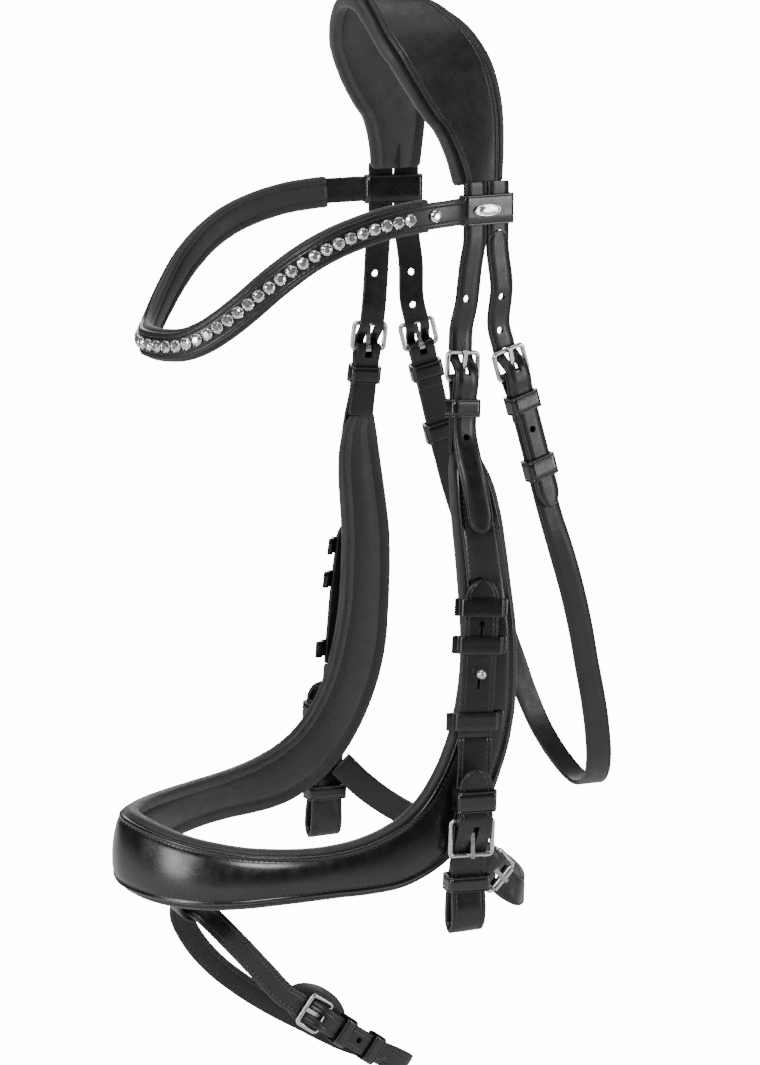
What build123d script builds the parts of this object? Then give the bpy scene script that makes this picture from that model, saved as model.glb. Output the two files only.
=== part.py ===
from build123d import *
import os
from collections import namedtuple
from math import asin, ceil, degrees

# Anatomical snaffle bridle: headpiece with padded crown, wave browband, padded
# noseband with integrated cheeks, bit straps, throatlash, jaw strap and flash strap.
# Millimetres. +X is the horse's left, -Y is towards the nose, +Z is up. The origin
# is the centre of the underside of the crown padding, where it rests on the poll.

os.makedirs("parts", exist_ok=True)

# Overall sizes
HEAD_LENGTH = 448.0        # poll to the middle of the noseband's front
HEAD_HALF_WIDTH = 88.0     # centre plane to the noseband cheek
HEAD_DEPTH = 290.0         # noseband front to the back of the throatlash

# Leather
STRAP_T = 2.5              # billets and single straps
COVER_T = 2.6              # outer leather over padding
CROWN_PAD_T = 8.0
NOSE_PAD_T = 8.0
BROW_PAD_T = 5.0
LAY_GAP = 0.25             # clearance between sewn or stacked layers
BILLET_W = 14.5
BILLET_SPACE = 0.6         # between the two billets side by side in a browband loop
BIT_STRAP_W = 20.0
BIT_STRAP_T = 2.8
BROW_W = 14.5
BROW_PAD_W = 18.0
THROAT_W = BILLET_W + 0.5
JAW_W = 16.0
FLASH_W = 13.5
HOLE_R = 2.0
HOLE_PITCH = 19.0

# Buckles: round wire frames with a hinge bar, a free bar and a tongue
WIRE_R = 1.4
FRAME_SLACK = 1.0          # each side of the strap inside the frame
BAR_PITCH = 15.0           # hinge bar to free bar, small buckles
BIT_BAR_PITCH = 20.0       # hinge bar to free bar, bit strap buckles
TONGUE_RUN = 0.08          # running clearance of the tongue ring on its bar
TONGUE_WALL = 1.1
TONGUE_W = 2.4
TONGUE_LIFT = 8.0          # degrees a tongue can lift in a buckled strap
TONGUE_REST = 0.3          # tongue tip above the free bar
CHAPE_T = 1.8
CHAPE_GAP = 0.15           # chape leather round the hinge bar
KEEPER_T = 1.8
KEEPER_H = 10.0
KEEPER_GAP = 0.35
LOOP_H = 16.5              # browband loops
LOOP_T = 2.0
LOOP_GAP = 0.5

# Trim
CRYSTAL_R = 3.1
CRYSTAL_PITCH = 7.15
CRYSTALS_HALF = 25
SETTING_R = 3.5
SETTING_H = 1.6
STUD_R = 3.0
ROLLER_R = 2.6
ROLLER_RUN = 0.08

# Throatlash bending line, just under the browband loops
PIVOT_DROP = 19.0
PIVOT_GAP = 0.4

BILLET_PITCH = BILLET_W + BILLET_SPACE
LOOP_FRONT = (BILLET_PITCH + BILLET_W) / 2 + LOOP_GAP + LOOP_T
SETTING_SEAT = 0.7         # under a crystal's setting, on the curved browband

CHEEK_X = 88.0             # centre plane to the cheek as drawn
K_X = HEAD_HALF_WIDTH / CHEEK_X
K_Y = HEAD_DEPTH / 290.0
K_Z = HEAD_LENGTH / 448.0

Frame = namedtuple("Frame", "p t m w width s")


def at(x, y, z):
    """Point of the head form, stretched with the overall sizes."""
    return Vector(x * K_X, y * K_Y, z * K_Z)


def design(p):
    """Design coordinates of a point of the stretched head form."""
    return [p.X / K_X, p.Y / K_Y, p.Z / K_Z]


def beside(x, y, z):
    """Design coordinates of a point held at its distance outside the noseband's cheek."""
    return ((CHEEK_X * K_X + x - CHEEK_X) / K_X, y, z)


def central(x, y, z):
    """Design coordinates of a point held at its distance from the centre plane."""
    return (x / K_X, y, z)


def spaced(rows, step):
    """Rows of numbers resampled evenly along a smooth curve through their points."""
    fine = []
    last = len(rows) - 1
    for i in range(last):
        chord = gap(rows[i], rows[i + 1])
        lead = slope(rows, i)
        tail = slope(rows, i + 1)
        count = max(2, ceil(chord / 1.5))
        for k in range(count):
            u = k / count
            fine.append([hermite(rows[i][j], lead[j] * chord, rows[i + 1][j], tail[j] * chord, u)
                         for j in range(len(rows[i]))])
    fine.append(list(rows[last]))
    length = [0.0]
    for a, b in zip(fine, fine[1:]):
        length.append(length[-1] + gap(a, b))
    count = max(2, round(length[-1] / step))
    out = []
    k = 0
    for i in range(count + 1):
        s = length[-1] * i / count
        while k < len(fine) - 2 and length[k + 1] < s:
            k += 1
        u = (s - length[k]) / (length[k + 1] - length[k])
        out.append([a * (1 - u) + b * u for a, b in zip(fine[k], fine[k + 1])])
    return out


def gap(a, b):
    """Distance between the points that two rows start with."""
    return (Vector(*b[:3]) - Vector(*a[:3])).length


def slope(rows, i):
    """Rate of change of every number in a row, per millimetre along the path."""
    last = len(rows) - 1
    if i == 0 or i == last:
        a, b = (rows[0], rows[1]) if i == 0 else (rows[last - 1], rows[last])
        return [(q - p) / gap(a, b) for p, q in zip(a, b)]
    before = gap(rows[i - 1], rows[i])
    after = gap(rows[i], rows[i + 1])
    return [((q - p) / before * after + (r - q) / after * before) / (before + after)
            for p, q, r in zip(rows[i - 1], rows[i], rows[i + 1])]


def hermite(a, da, b, db, u):
    """Smooth interpolation between a and b with end slopes."""
    e0 = 2 * u ** 3 - 3 * u ** 2 + 1
    e1 = u ** 3 - 2 * u ** 2 + u
    e2 = -2 * u ** 3 + 3 * u ** 2
    e3 = u ** 3 - u ** 2
    return e0 * a + e1 * da + e2 * b + e3 * db


def frames(points, normals, widths):
    """Position, tangent, face normal and width direction along a strap."""
    out = []
    s = 0.0
    last = len(points) - 1
    for i, p in enumerate(points):
        t = (points[min(i + 1, last)] - points[max(i - 1, 0)]).normalized()
        w = normals[i].cross(t).normalized()
        m = t.cross(w).normalized()
        if i > 0:
            s += (p - points[i - 1]).length
        out.append(Frame(p, t, m, w, widths[i], s))
    return out


def strap_frames(rows, step=7.0):
    """Frames from rows of x, y, z, face normal x, y, z and width."""
    fine = spaced(rows, step)
    points = [at(*r[:3]) for r in fine]
    normals = [Vector(*r[3:6]) for r in fine]
    return frames(points, normals, [r[6] for r in fine])


def edge_frames(rows, step=12.0, side=1):
    """Frames from rows of two facing edge points: front or top, then rear or bottom."""
    fine = spaced(rows, step)
    tops = [at(*r[:3]) for r in fine]
    bottoms = [at(*r[3:6]) for r in fine]
    points = [(a + b) * 0.5 for a, b in zip(tops, bottoms)]
    across = [(b - a).normalized() for a, b in zip(tops, bottoms)]
    out = []
    s = 0.0
    last = len(points) - 1
    for i, p in enumerate(points):
        t = (points[min(i + 1, last)] - points[max(i - 1, 0)]).normalized()
        m = across[i].cross(t).normalized() * side
        w = t.cross(m).normalized()
        if i > 0:
            s += (p - points[i - 1]).length
        out.append(Frame(p, t, m, w, (bottoms[i] - tops[i]).length, s))
    return out


def both_sides(rows):
    """Full rows of a piece that crosses the centre plane, from its left half."""
    half = [list(r) for r in rows]
    other = []
    for r in reversed(half[:-1]):
        m = list(r)
        m[0] = -m[0]
        m[3] = -m[3]
        other.append(m)
    return half + other


def rect(half, low, high):
    return [(-half, low), (half, low), (half, high), (-half, high)]


def cushion(half, low, high, roll):
    """Soft section with rolled edges."""
    mid = (high - low) * 0.28
    return [(-half + roll, low), (half - roll, low), (half, low + mid), (half, high - mid),
            (half - roll, high), (-half + roll, high), (-half, high - mid), (-half, low + mid)]


def loft_along(stations, section):
    """Solid through one section per frame; section gives (width, normal) offsets."""
    wires = []
    for f in stations:
        corners = [f.p + f.w * a + f.m * b for a, b in section(f)]
        wires.append(Wire.make_polygon(corners, close=True))
    solid = Solid.make_loft(wires)
    if solid.volume < 0:
        solid = Solid(solid.wrapped.Reversed())
    return solid


def flat_strap(stations, thick, pieces=1):
    """Strap of constant thickness, lofted in one or more joined runs."""
    runs = []
    for k in range(pieces):
        a = (len(stations) - 1) * k // pieces
        b = (len(stations) - 1) * (k + 1) // pieces
        runs.append(loft_along(stations[a:b + 1],
                               lambda f: rect(f.width / 2, -thick / 2, thick / 2)))
    strap = runs[0]
    for run in runs[1:]:
        strap = strap + run
    return strap


def prism(outline, depth):
    """Outline of (x, z) points in the fitting's plane, extruded evenly across it."""
    pts = [Vector(x, 0, z) for x, z in outline]
    face = Face(Wire.make_polygon(pts, close=True))
    return extrude(face, amount=depth / 2, dir=(0, 1, 0), both=True)


def punch(pos, direction, radius=HOLE_R, length=16.0):
    """Round cutter centred on a strap."""
    plane = Plane(origin=pos, z_dir=direction)
    return Cylinder(radius, length).moved(plane.location)


def fitting(origin, up, out):
    """Local frame of a buckle or keeper: x outwards, y across, z up the strap."""
    return Plane(origin=at(*origin), x_dir=Vector(*out), z_dir=Vector(*up))


def lift(shape, plane):
    return shape.moved(plane.location)


def save(name, shape):
    export_step(shape, os.path.join("parts", name + ".step"))


def save_pair(name, shape):
    """Left piece as drawn, right piece mirrored in the centre plane."""
    save(name + "_left", shape)
    save(name + "_right", mirror(shape, about=Plane.YZ))


def with_mirror(shapes):
    """Left shapes and their mirrored twins as one group."""
    twins = [mirror(s, about=Plane.YZ) for s in shapes]
    return Compound(children=list(shapes) + twins)


# ---------------------------------------------------------------- buckles

def wire_frame(strap_w, pitch, wire=WIRE_R):
    """Rectangular buckle frame with rounded corners; hinge bar at z=0."""
    width = strap_w + 2 * FRAME_SLACK + 2 * wire
    half = width / 2
    r = 2.2
    path = Wire(FilletPolyline((0, -half, 0), (0, half, 0), (0, half, pitch),
                               (0, -half, pitch), radius=r, close=True).edges())
    start = Plane(origin=path @ 0, z_dir=path % 0)
    profile = Face(Wire.make_circle(wire, plane=start))
    return Solid.sweep(profile, path)


def tongue_rod(pitch, free_r, half_t, width, lift_deg=0.0):
    """Tapered rod from the hinge bar to the top of the free bar, lifted by an angle."""
    rest = degrees(asin((free_r + TONGUE_REST + 0.9) / pitch))
    tip = Vector(0, 0, pitch + 1.6).rotate(Axis.Y, rest + lift_deg)
    along = tip.normalized()
    side = Vector(along.Z, 0, -along.X)
    a = along * (WIRE_R + TONGUE_RUN + TONGUE_WALL * 0.5)
    corners = [a + side * half_t, tip + side * half_t * 0.8, tip - side * half_t * 0.8,
               a - side * half_t]
    return prism([(c.X, c.Z) for c in corners], width)


def tongue(pitch, free_r=WIRE_R):
    """Tongue with its ring on the hinge bar and its tip over the free bar."""
    outer = WIRE_R + TONGUE_RUN + TONGUE_WALL
    ring = Cylinder(outer, TONGUE_W + 0.8, rotation=(90, 0, 0))
    rod = tongue_rod(pitch, free_r, 0.9, TONGUE_W)
    bore = Cylinder(WIRE_R + TONGUE_RUN, 20, rotation=(90, 0, 0))
    return (ring + rod - bore).solid()


def tongue_slot(pitch, free_r=WIRE_R):
    """Space the tongue needs in the strap from its rest to its full lift."""
    steps = [-1.5, 2.0, 5.0, TONGUE_LIFT + 0.5]
    parts = [tongue_rod(pitch, free_r, 1.35, TONGUE_W + 1.2, a) for a in steps]
    slot = parts[0]
    for p in parts[1:]:
        slot = slot + p
    return slot


def chape(width, length, wire=WIRE_R):
    """Leather folded round the hinge bar and closed below it, slotted for the tongue."""
    ri = wire + CHAPE_GAP
    ro = ri + CHAPE_T
    near = LAY_GAP / 2
    legs = []
    for side in (1, -1):
        legs.append(prism([(side * ri, 0), (side * ro, 0), (side * ro, -2),
                           (side * (near + CHAPE_T), -9), (side * (near + CHAPE_T), -length),
                           (side * near, -length), (side * near, -9), (side * ri, -2.5)],
                          width))
    tube = Cylinder(ro, width, rotation=(90, 0, 0)) - Cylinder(ri, width + 2, rotation=(90, 0, 0))
    upper = tube & Box(20, width + 2, 20, align=(Align.CENTER, Align.CENTER, Align.MIN))
    slot = Box(20, TONGUE_W + 2.0, 10.5)
    fold = upper + legs[0] + legs[1] - slot
    return fold.solid()


def billet_rows(plane, pitch, strap_t, above, below, width, free_r=WIRE_R, sign=1):
    """Path rows of a strap through a buckle: behind the free bar, over the hinge bar."""
    back = -(free_r + LAY_GAP + strap_t / 2)
    front = WIRE_R + CHAPE_GAP + CHAPE_T + LAY_GAP + strap_t / 2
    low = CHAPE_T + LAY_GAP * 1.5 + strap_t / 2
    local = [(back, above), (back, pitch + 4), (back, pitch - 0.5), (front - 0.4, 3.4),
             (front + 0.15, -1.0), (low + 0.4, -7.5)]
    local += [(low, z) for z in (-11, -17) if z > below + 5] + [(low, below)]
    rows = []
    for x, z in local:
        p = plane.from_local_coords(Vector(x, 0, z))
        rows.append([*design(p), *(plane.x_dir * sign), width])
    return rows


def keeper(width, low, high, height=KEEPER_H, thick=KEEPER_T):
    """Closed leather band round a strap, from low to high along the fitting's x."""
    g = KEEPER_GAP
    inner_x = high - low + 2 * g
    inner_y = width + 2 * g
    mid = (low + high) / 2
    outer = Box(inner_x + 2 * thick, inner_y + 2 * thick, height)
    outer = fillet(outer.edges().filter_by(Axis.Z), thick * 0.8)
    return (outer - Box(inner_x, inner_y, height + 2)).solid().moved(Location((mid, 0, 0)))


def bridge_keeper(inner_w, rise, full_w, height=KEEPER_H):
    """Keeper sewn to the noseband leather: flat feet with a bridge over the strap."""
    t = KEEPER_T
    a = inner_w / 2 + KEEPER_GAP
    b = full_w / 2
    h = rise + KEEPER_GAP
    pts = [(0, -b), (0, -a), (h, -a), (h, a), (0, a), (0, b), (t, b), (t, a + t),
           (h + t, a + t), (h + t, -a - t), (t, -a - t), (t, -b)]
    face = Face(Wire.make_polygon([Vector(x, y, 0) for x, y in pts], close=True))
    return extrude(face, amount=height / 2, dir=(0, 0, 1), both=True).solid()


# ---------------------------------------------------------------- headpiece

CROWN_EDGES = [
    # front edge x, y, z, rear edge x, y, z of the padding's middle layer
    [56, 19.4, -94, 53.8, 48.5, -94],
    [53, 17.5, -82, 53.4, 49.8, -82.5],
    [49.5, 14, -69, 52.4, 50.8, -69.5],
    [46.5, 9, -57, 51.4, 51, -57],
    [44.5, 2, -46, 50.6, 49.4, -46],
    [41, -5, -34, 48.5, 45.5, -34],
    [35, -11.5, -23, 43.5, 39, -21.5],
    [27, -17, -12.8, 35, 31, -11.5],
    [18, -19.8, -3.6, 24, 24, -2.4],
    [9, -21, 2.4, 12, 20.5, 2.8],
    [0, -21.5, 4, 0, 19.5, 4],
]


def crown_frames():
    return edge_frames(both_sides(CROWN_EDGES))


def crown_padding():
    half = CROWN_PAD_T / 2
    return loft_along(crown_frames(),
                      lambda f: cushion(f.width / 2, -half, half, 3.5))


def crown_leather():
    low = CROWN_PAD_T / 2 + LAY_GAP
    high = low + COVER_T

    def section(f):
        return rect(f.width / 2 - min(6.0, f.width * 0.12), low, high)

    return loft_along(crown_frames(), section)


# ---------------------------------------------------------------- billets

CHEEK = fitting((64.5, 20.8, -200), (-0.1, 0.07, 0.9925), (0.99, 0.1, 0))
THROAT = fitting((61.6, 53.9, -200), (-0.04, -0.262, 0.964), (0.985, 0.17, 0))
LOOP = fitting((61.9, 36.0, -107), (0, 0, 1), (0.985, 0.17, 0))
PIVOT = design(LOOP.from_local_coords(Vector(0, BILLET_PITCH / 2, -PIVOT_DROP)))


def billet_tip(rows, length=9.0):
    """Rows with the last stretch narrowed to a rounded point."""
    a = Vector(*rows[-2][:3])
    b = Vector(*rows[-1][:3])
    along = (b - a).normalized()
    end = rows[-1]
    rows.pop()
    for back, k in ((length + 1.5, 1.0), (length, 1.0), (length * 0.45, 0.86),
                    (length * 0.15, 0.55), (0, 0.2)):
        p = b - along * back
        rows.append([*p, *end[3:6], end[6] * k])
    return rows


def cheek_billet_rows():
    x, y = design(LOOP.from_local_coords(Vector(0, -BILLET_PITCH / 2, 0)))[:2]
    top = [[x, y, z, 0.985, 0.17, 0, BILLET_W] for z in (-94.6, -106, -116, -122)]
    top += [[62.5, 26.4, -138, 0.985, 0.15, 0, BILLET_W],
            [61.3, 24.6, -158, 0.985, 0.13, 0, BILLET_W]]
    through = billet_rows(CHEEK, BAR_PITCH, STRAP_T, 26, -26, BILLET_W)
    tail = [nose_row(z, 0.0, LAY_GAP * 2 + STRAP_T / 2, BILLET_W)
            for z in (-246, -254, -262, -271, -282)]
    return billet_tip(top + through + tail)


def cheek_billet():
    strap = flat_strap(strap_frames(cheek_billet_rows(), 5.0), STRAP_T, 4)
    strap = strap - lift(tongue_slot(BAR_PITCH), CHEEK)
    for z in (HOLE_PITCH * 2 + 6.5, HOLE_PITCH * 3 + 6.5):
        p = CHEEK.from_local_coords(Vector(-2.9, 0, z))
        strap = strap - punch(p, CHEEK.x_dir)
    p = CHEEK.from_local_coords(Vector(3.3, 0, 6.5 - HOLE_PITCH * 2))
    strap = strap - punch(p, CHEEK.x_dir, length=6.0)
    return strap.solid()


def billet_roots():
    """Rear billet ends of the headpiece, sewn under the crown and bending at the pivot."""
    rows = [[*PIVOT[:2], z, 0.985, 0.17, 0, BILLET_W] for z in (-94.6, -118, -134)]
    strap = flat_strap(strap_frames(rows), STRAP_T)
    cup = punch(at(*PIVOT), Vector(1, 0, 0), BILLET_W / 2 + PIVOT_GAP, 60)
    below = Box(60, 60, 40).moved(Location(at(PIVOT[0], PIVOT[1], PIVOT[2]) - Vector(0, 0, 20)))
    return (strap - cup - below).solid()


def throatlash_billet_rows():
    top = [[PIVOT[0], PIVOT[1], PIVOT[2] + 9, 0.985, 0.17, 0, BILLET_W],
           [PIVOT[0], PIVOT[1], PIVOT[2], 0.985, 0.17, 0, BILLET_W],
           [60.3, 46.4, -150, 0.985, 0.17, 0, BILLET_W]]
    through = billet_rows(THROAT, BAR_PITCH, STRAP_T, 27, -78, BILLET_W)
    return billet_tip(top + through)


def throatlash_billet():
    strap = flat_strap(strap_frames(throatlash_billet_rows(), 5.0), STRAP_T, 4)
    head = punch(at(*PIVOT), Vector(1, 0, 0), BILLET_W / 2, 60)
    above = Box(60, 60, 40).moved(Location(at(*PIVOT) + Vector(0, 0, 20)))
    strap = strap - (above - head)
    strap = strap - lift(tongue_slot(BAR_PITCH), THROAT)
    for x, z in ((-2.9, 2), (3.3, -2), (-2.9, 3)):
        p = THROAT.from_local_coords(Vector(x, 0, 6.5 + HOLE_PITCH * z))
        strap = strap - punch(p, THROAT.x_dir, length=6.0)
    return strap.solid()


# ---------------------------------------------------------------- browband

BROW_PATH = [
    design(LOOP.from_local_coords(Vector(1.0, -LOOP_FRONT - 0.95, 0))),
    [69.6, 8, -107.5],
    [72, -2, -108],
    [73.6, -13, -109],
    [74.6, -25, -110.5],
    [75, -37, -113],
    [75, -48, -116.2],
    [74.3, -59, -120.2],
    [72.8, -69, -125],
    [70.6, -78, -130.6],
    [67.6, -86.4, -137],
    [64, -94.2, -143.8],
    [59.6, -101.4, -151],
    [54, -108.4, -158.3],
    [47.5, -115.2, -165.2],
    [39.5, -122, -171.5],
    [29, -129, -176.4],
    [15, -135.6, -178.4],
    [0, -138.5, -178.6],
]


def brow_frames():
    half = [[x, y, z, 0, 0, 0, BROW_W] for x, y, z in BROW_PATH]
    fine = spaced(both_sides(half), 12.0)
    points = [at(*r[:3]) for r in fine]
    normals = []
    last = len(points) - 1
    for i in range(last + 1):
        t = points[min(i + 1, last)] - points[max(i - 1, 0)]
        normals.append(Vector(-t.Y, t.X, 0).normalized())
    return frames(points, normals, [BROW_W] * len(points))


def browband_leather():
    return loft_along(brow_frames(), lambda f: rect(BROW_W / 2, 0, COVER_T))


def browband_padding():
    inner = brow_frames()[2:-2]
    return loft_along(inner, lambda f: cushion(BROW_PAD_W / 2, -LAY_GAP - BROW_PAD_T,
                                               -LAY_GAP, 2.2))


def browband_loop():
    """Loop round both billets at each end of the browband."""
    span = BILLET_PITCH + BILLET_W + 2 * LOOP_GAP
    deep = STRAP_T + 2 * LOOP_GAP
    outer = Box(deep + 2 * LOOP_T, span + 2 * LOOP_T, LOOP_H)
    outer = fillet(outer.edges().filter_by(Axis.Z), LOOP_T * 0.8)
    return lift((outer - Box(deep, span, LOOP_H + 2)).solid(), LOOP)


def brow_trim_planes():
    """Seats of the crystals on the browband's face, along its centre line."""
    stations = brow_frames()
    middle = stations[len(stations) // 2].s
    wanted = [middle + CRYSTAL_PITCH * k for k in range(-CRYSTALS_HALF, CRYSTALS_HALF + 1)]
    wanted += [middle + side * CRYSTAL_PITCH * (CRYSTALS_HALF + 2.2) for side in (-1, 1)]
    planes = []
    for s in wanted:
        for a, b in zip(stations, stations[1:]):
            if a.s <= s <= b.s:
                u = (s - a.s) / (b.s - a.s)
                p = a.p * (1 - u) + b.p * u
                m = (a.m * (1 - u) + b.m * u).normalized()
                planes.append(Plane(origin=p + m * (COVER_T + SETTING_SEAT), z_dir=m))
                break
    return planes


def crystals_and_settings():
    base = Align.CENTER, Align.CENTER, Align.MIN
    cup = Cylinder(SETTING_R, SETTING_H, align=base)
    pocket = Cylinder(CRYSTAL_R + 0.06, SETTING_H, align=base).moved(Location((0, 0, 0.6)))
    cup = (cup - pocket).solid()
    stone = Cone(CRYSTAL_R, CRYSTAL_R * 0.6, 1.7, align=base).moved(Location((0, 0, 0.66)))
    planes = brow_trim_planes()
    stones = Compound(children=[lift(stone.solid(), p) for p in planes])
    cups = Compound(children=[lift(cup, p) for p in planes])
    return stones, cups


def browband_badge():
    """Plain oval ornament on the left loop."""
    face = LOOP.from_local_coords(Vector(STRAP_T / 2 + LOOP_GAP + LOOP_T + 0.2, -2, 0))
    plane = Plane(origin=face, x_dir=LOOP.y_dir, z_dir=LOOP.x_dir)
    plate = extrude(Sketch() + Ellipse(9.0, 3.2), 1.2)
    return lift(chamfer(plate.edges().group_by(Axis.Z)[-1], 0.4).solid(), plane)


# ---------------------------------------------------------------- noseband

NOSE_EDGES = [
    # front or top edge, then rear or bottom edge of the padding's middle layer
    [68.6, 11.6, -239.5, 70.6, 27, -240],
    [71.8, 9.2, -247, 74.6, 29.6, -247],
    [75.6, 8, -259, 79.2, 33.2, -258],
    [77.7, 8.3, -273, 81.8, 36.2, -274],
    [79, 9.8, -289, 82.2, 38.8, -292],
    [80.2, 11.5, -313, 82.8, 42, -315],
    [82.5, 12, -336, 86, 43.8, -338],
    [84, 11, -358, 87.5, 43.6, -361],
    [84.9, 7.5, -380, 88.2, 41.8, -386],
    [85, 1.5, -401, 89, 36, -410],
    [85.2, -7, -418, 90, 26, -433.5],
    [85.6, -18, -432, 90.5, 12, -454],
    [86, -30, -441, 90.5, -4, -467],
    [85.3, -42, -446, 90, -22, -475],
    [84, -54, -449, 88, -42, -478.5],
    [81.5, -67, -451, 85, -62, -480],
    [77.5, -80, -452, 81, -80, -481.5],
    [71.5, -93.5, -452.3, 75, -97, -483.2],
    [63.5, -107.5, -452, 66, -113.5, -485.5],
    [53, -120.5, -450.8, 55, -127.5, -487.5],
    [40, -132, -449.3, 41, -139.5, -488.8],
    [26, -141, -447, 26, -148, -489],
    [12.5, -147.5, -444.5, 12, -152.2, -488.8],
    [0, -150, -443.4, 0, -153.8, -488.6],
]


def nose_frames(step=12.0):
    return edge_frames(both_sides(NOSE_EDGES), step, -1)


def pad_half(f, total):
    """Half thickness of the padding, thinner where the cheek narrows to its strap."""
    return NOSE_PAD_T / 2 * min(1.0, 0.38 + min(f.s, total - f.s) / 75)


def noseband_padding():
    stations = nose_frames()
    total = stations[-1].s

    def section(f):
        half = pad_half(f, total)
        return cushion(f.width / 2, -half, half, 3.0)

    return loft_along(stations, section)


def noseband_leather():
    stations = nose_frames()
    total = stations[-1].s

    def section(f):
        low = pad_half(f, total) + LAY_GAP
        return rect(f.width / 2 - 3.6, low, low + COVER_T)

    return loft_along(stations, section)


def nose_row(z, forward, rise, width):
    """Path row on the noseband leather's left cheek: height, offset forward, rise."""
    stations = nose_frames(6.0)
    total = stations[-1].s
    for a, b in zip(stations, stations[1:]):
        if a.p.Z >= z * K_Z > b.p.Z:
            u = (a.p.Z - z * K_Z) / (a.p.Z - b.p.Z)
            m = (a.m * (1 - u) + b.m * u).normalized()
            w = (a.w * (1 - u) + b.w * u).normalized()
            face = pad_half(a, total) + LAY_GAP + COVER_T
            p = a.p * (1 - u) + b.p * u + w * forward + m * (face + rise)
            return [*design(p), m.X, m.Y, m.Z, width]


def cheek_chape():
    return lift(chape(BILLET_W, 38), CHEEK)


# ---------------------------------------------------------------- bit straps

BIT_OUT = (0.995, -0.1, 0.0)
BIT = fitting(beside(104.8, 9.0, -439), (0, -0.04, -0.9992), (0.997, -0.06, 0))
BIT_LINE = [
    # height and offset forward of the bit strap on the noseband's cheek
    (-307, 3.6),
    (-322, 5.6),
    (-340, 7.7),
    (-358, 8.8),
    (-374, 8.6),
    (-386, 7.8),
    (-396.7, 5.8),
]
BIT_GAP = 0.5              # between the fixed and the free part of a bit strap
BIT_KEEPERS = ((-323.0, 31.0), (-343.5, 32.0), (-385.8, 33.5))
STUD_Z = -359.0
KEYHOLE_PITCH = 27.0


def bit_row(x, y, z, out=BIT_OUT):
    return [*beside(x, y, z), *out, BIT_STRAP_W]


def bit_seat(rise=0.0):
    """Points above the noseband leather's face along the bit strap's line."""
    out = []
    for z, forward in BIT_LINE:
        out.append(nose_row(z, forward, rise, BIT_STRAP_W)[:3])
    return out


def bit_strap():
    """Fixed part of the bit strap, held on the noseband cheek by keepers and a stud."""
    seat = bit_seat(LAY_GAP * 2 + BIT_STRAP_T / 2)
    rows = billet_tip([[*p, *BIT_OUT, BIT_STRAP_W] for p in reversed(seat)], 11.0)
    strap = flat_strap(strap_frames(rows, 9.0), BIT_STRAP_T)
    for z in (STUD_Z + KEYHOLE_PITCH, STUD_Z, STUD_Z - KEYHOLE_PITCH):
        strap = strap - keyhole(z)
    return strap.solid()


def face_plane(z):
    """Fitting on the noseband leather's face at a height on the bit strap's line."""
    seat = bit_seat()
    for a, b in zip(seat, seat[1:]):
        if a[2] >= z >= b[2]:
            u = (z - a[2]) / (b[2] - a[2])
            p = [a[i] * (1 - u) + b[i] * u for i in range(3)]
            return fitting(p, [a[i] - b[i] for i in range(3)], BIT_OUT)


def keyhole(z):
    """Keyhole slot for the hook stud."""
    hole = Cylinder(1.7, 16, rotation=(0, 90, 0))
    slit = Box(16, 1.2, 9.0, align=(Align.CENTER, Align.CENTER, Align.MAX))
    return lift(hole + slit, face_plane(z))


def hook_stud():
    """Domed stud on the noseband cheek, through a keyhole in the bit strap."""
    length = BIT_STRAP_T + LAY_GAP * 4
    head = Sphere(STUD_R).moved(Location((length + STUD_R, 0, 0)))
    shank = Cylinder(1.3, length + 1, rotation=(0, 90, 0))
    shank = shank.moved(Location(((length + 1) / 2 + 0.1, 0, 0)))
    return lift((shank + head).solid(), face_plane(STUD_Z))


def noseband_keepers():
    out = []
    for z, full in BIT_KEEPERS:
        band = bridge_keeper(BIT_STRAP_W, BIT_STRAP_T + LAY_GAP * 2, full)
        out.append(lift(band.moved(Location((LAY_GAP, 0, 0))), face_plane(z)))
    return Compound(children=out)


def bit_strap_fold():
    """Free part: down, round the seat of the bit ring and up through its buckle."""
    x, y, z = bit_seat(LAY_GAP * 2 + BIT_STRAP_T / 2)[-1]
    rows = [[x, y, z - BIT_GAP / K_Z, *BIT_OUT, BIT_STRAP_W],
            bit_row(96.0, 14.4, -408),
            bit_row(97.3, 12.8, -425),
            bit_row(98.9, 11.0, -441),
            bit_row(99.7, 9.6, -455),
            bit_row(98.9, 8.6, -466),
            bit_row(97.4, 7.8, -476),
            bit_row(96.2, 7.3, -486, (0.99, -0.05, 0.1)),
            bit_row(95.8, 7.0, -494, (0.99, 0, 0.1)),
            bit_row(97.0, 6.8, -500, (0.7, 0, 0.7)),
            bit_row(100.6, 6.7, -502.8, (0, 0, 1)),
            bit_row(104.2, 6.7, -499.6, (-0.7, 0, 0.7)),
            bit_row(105.4, 6.9, -492, (-0.99, 0.05, 0.1)),
            bit_row(103.8, 7.3, -481.5, (-0.99, 0.06, 0))]
    rows += billet_rows(BIT, BIT_BAR_PITCH, BIT_STRAP_T, 32, -30, BIT_STRAP_W, sign=-1)
    strap = flat_strap(strap_frames(billet_tip(rows, 11.0), 5.0), BIT_STRAP_T, 4)
    return (strap - lift(tongue_slot(BIT_BAR_PITCH), BIT)).solid()


def bit_keepers():
    lower = keeper(BIT_STRAP_W + 0.8, -9.6, 0.4, 9.0, 1.6)
    upper = keeper(BIT_STRAP_W, -2.6, 6.2, 12.0, 1.4)
    return Compound(children=[lift(lower.moved(Location((0, 0, 36.5))), BIT),
                              lift(upper.moved(Location((0, 0, -12.0))), BIT)])


# ---------------------------------------------------------------- throatlash

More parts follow.
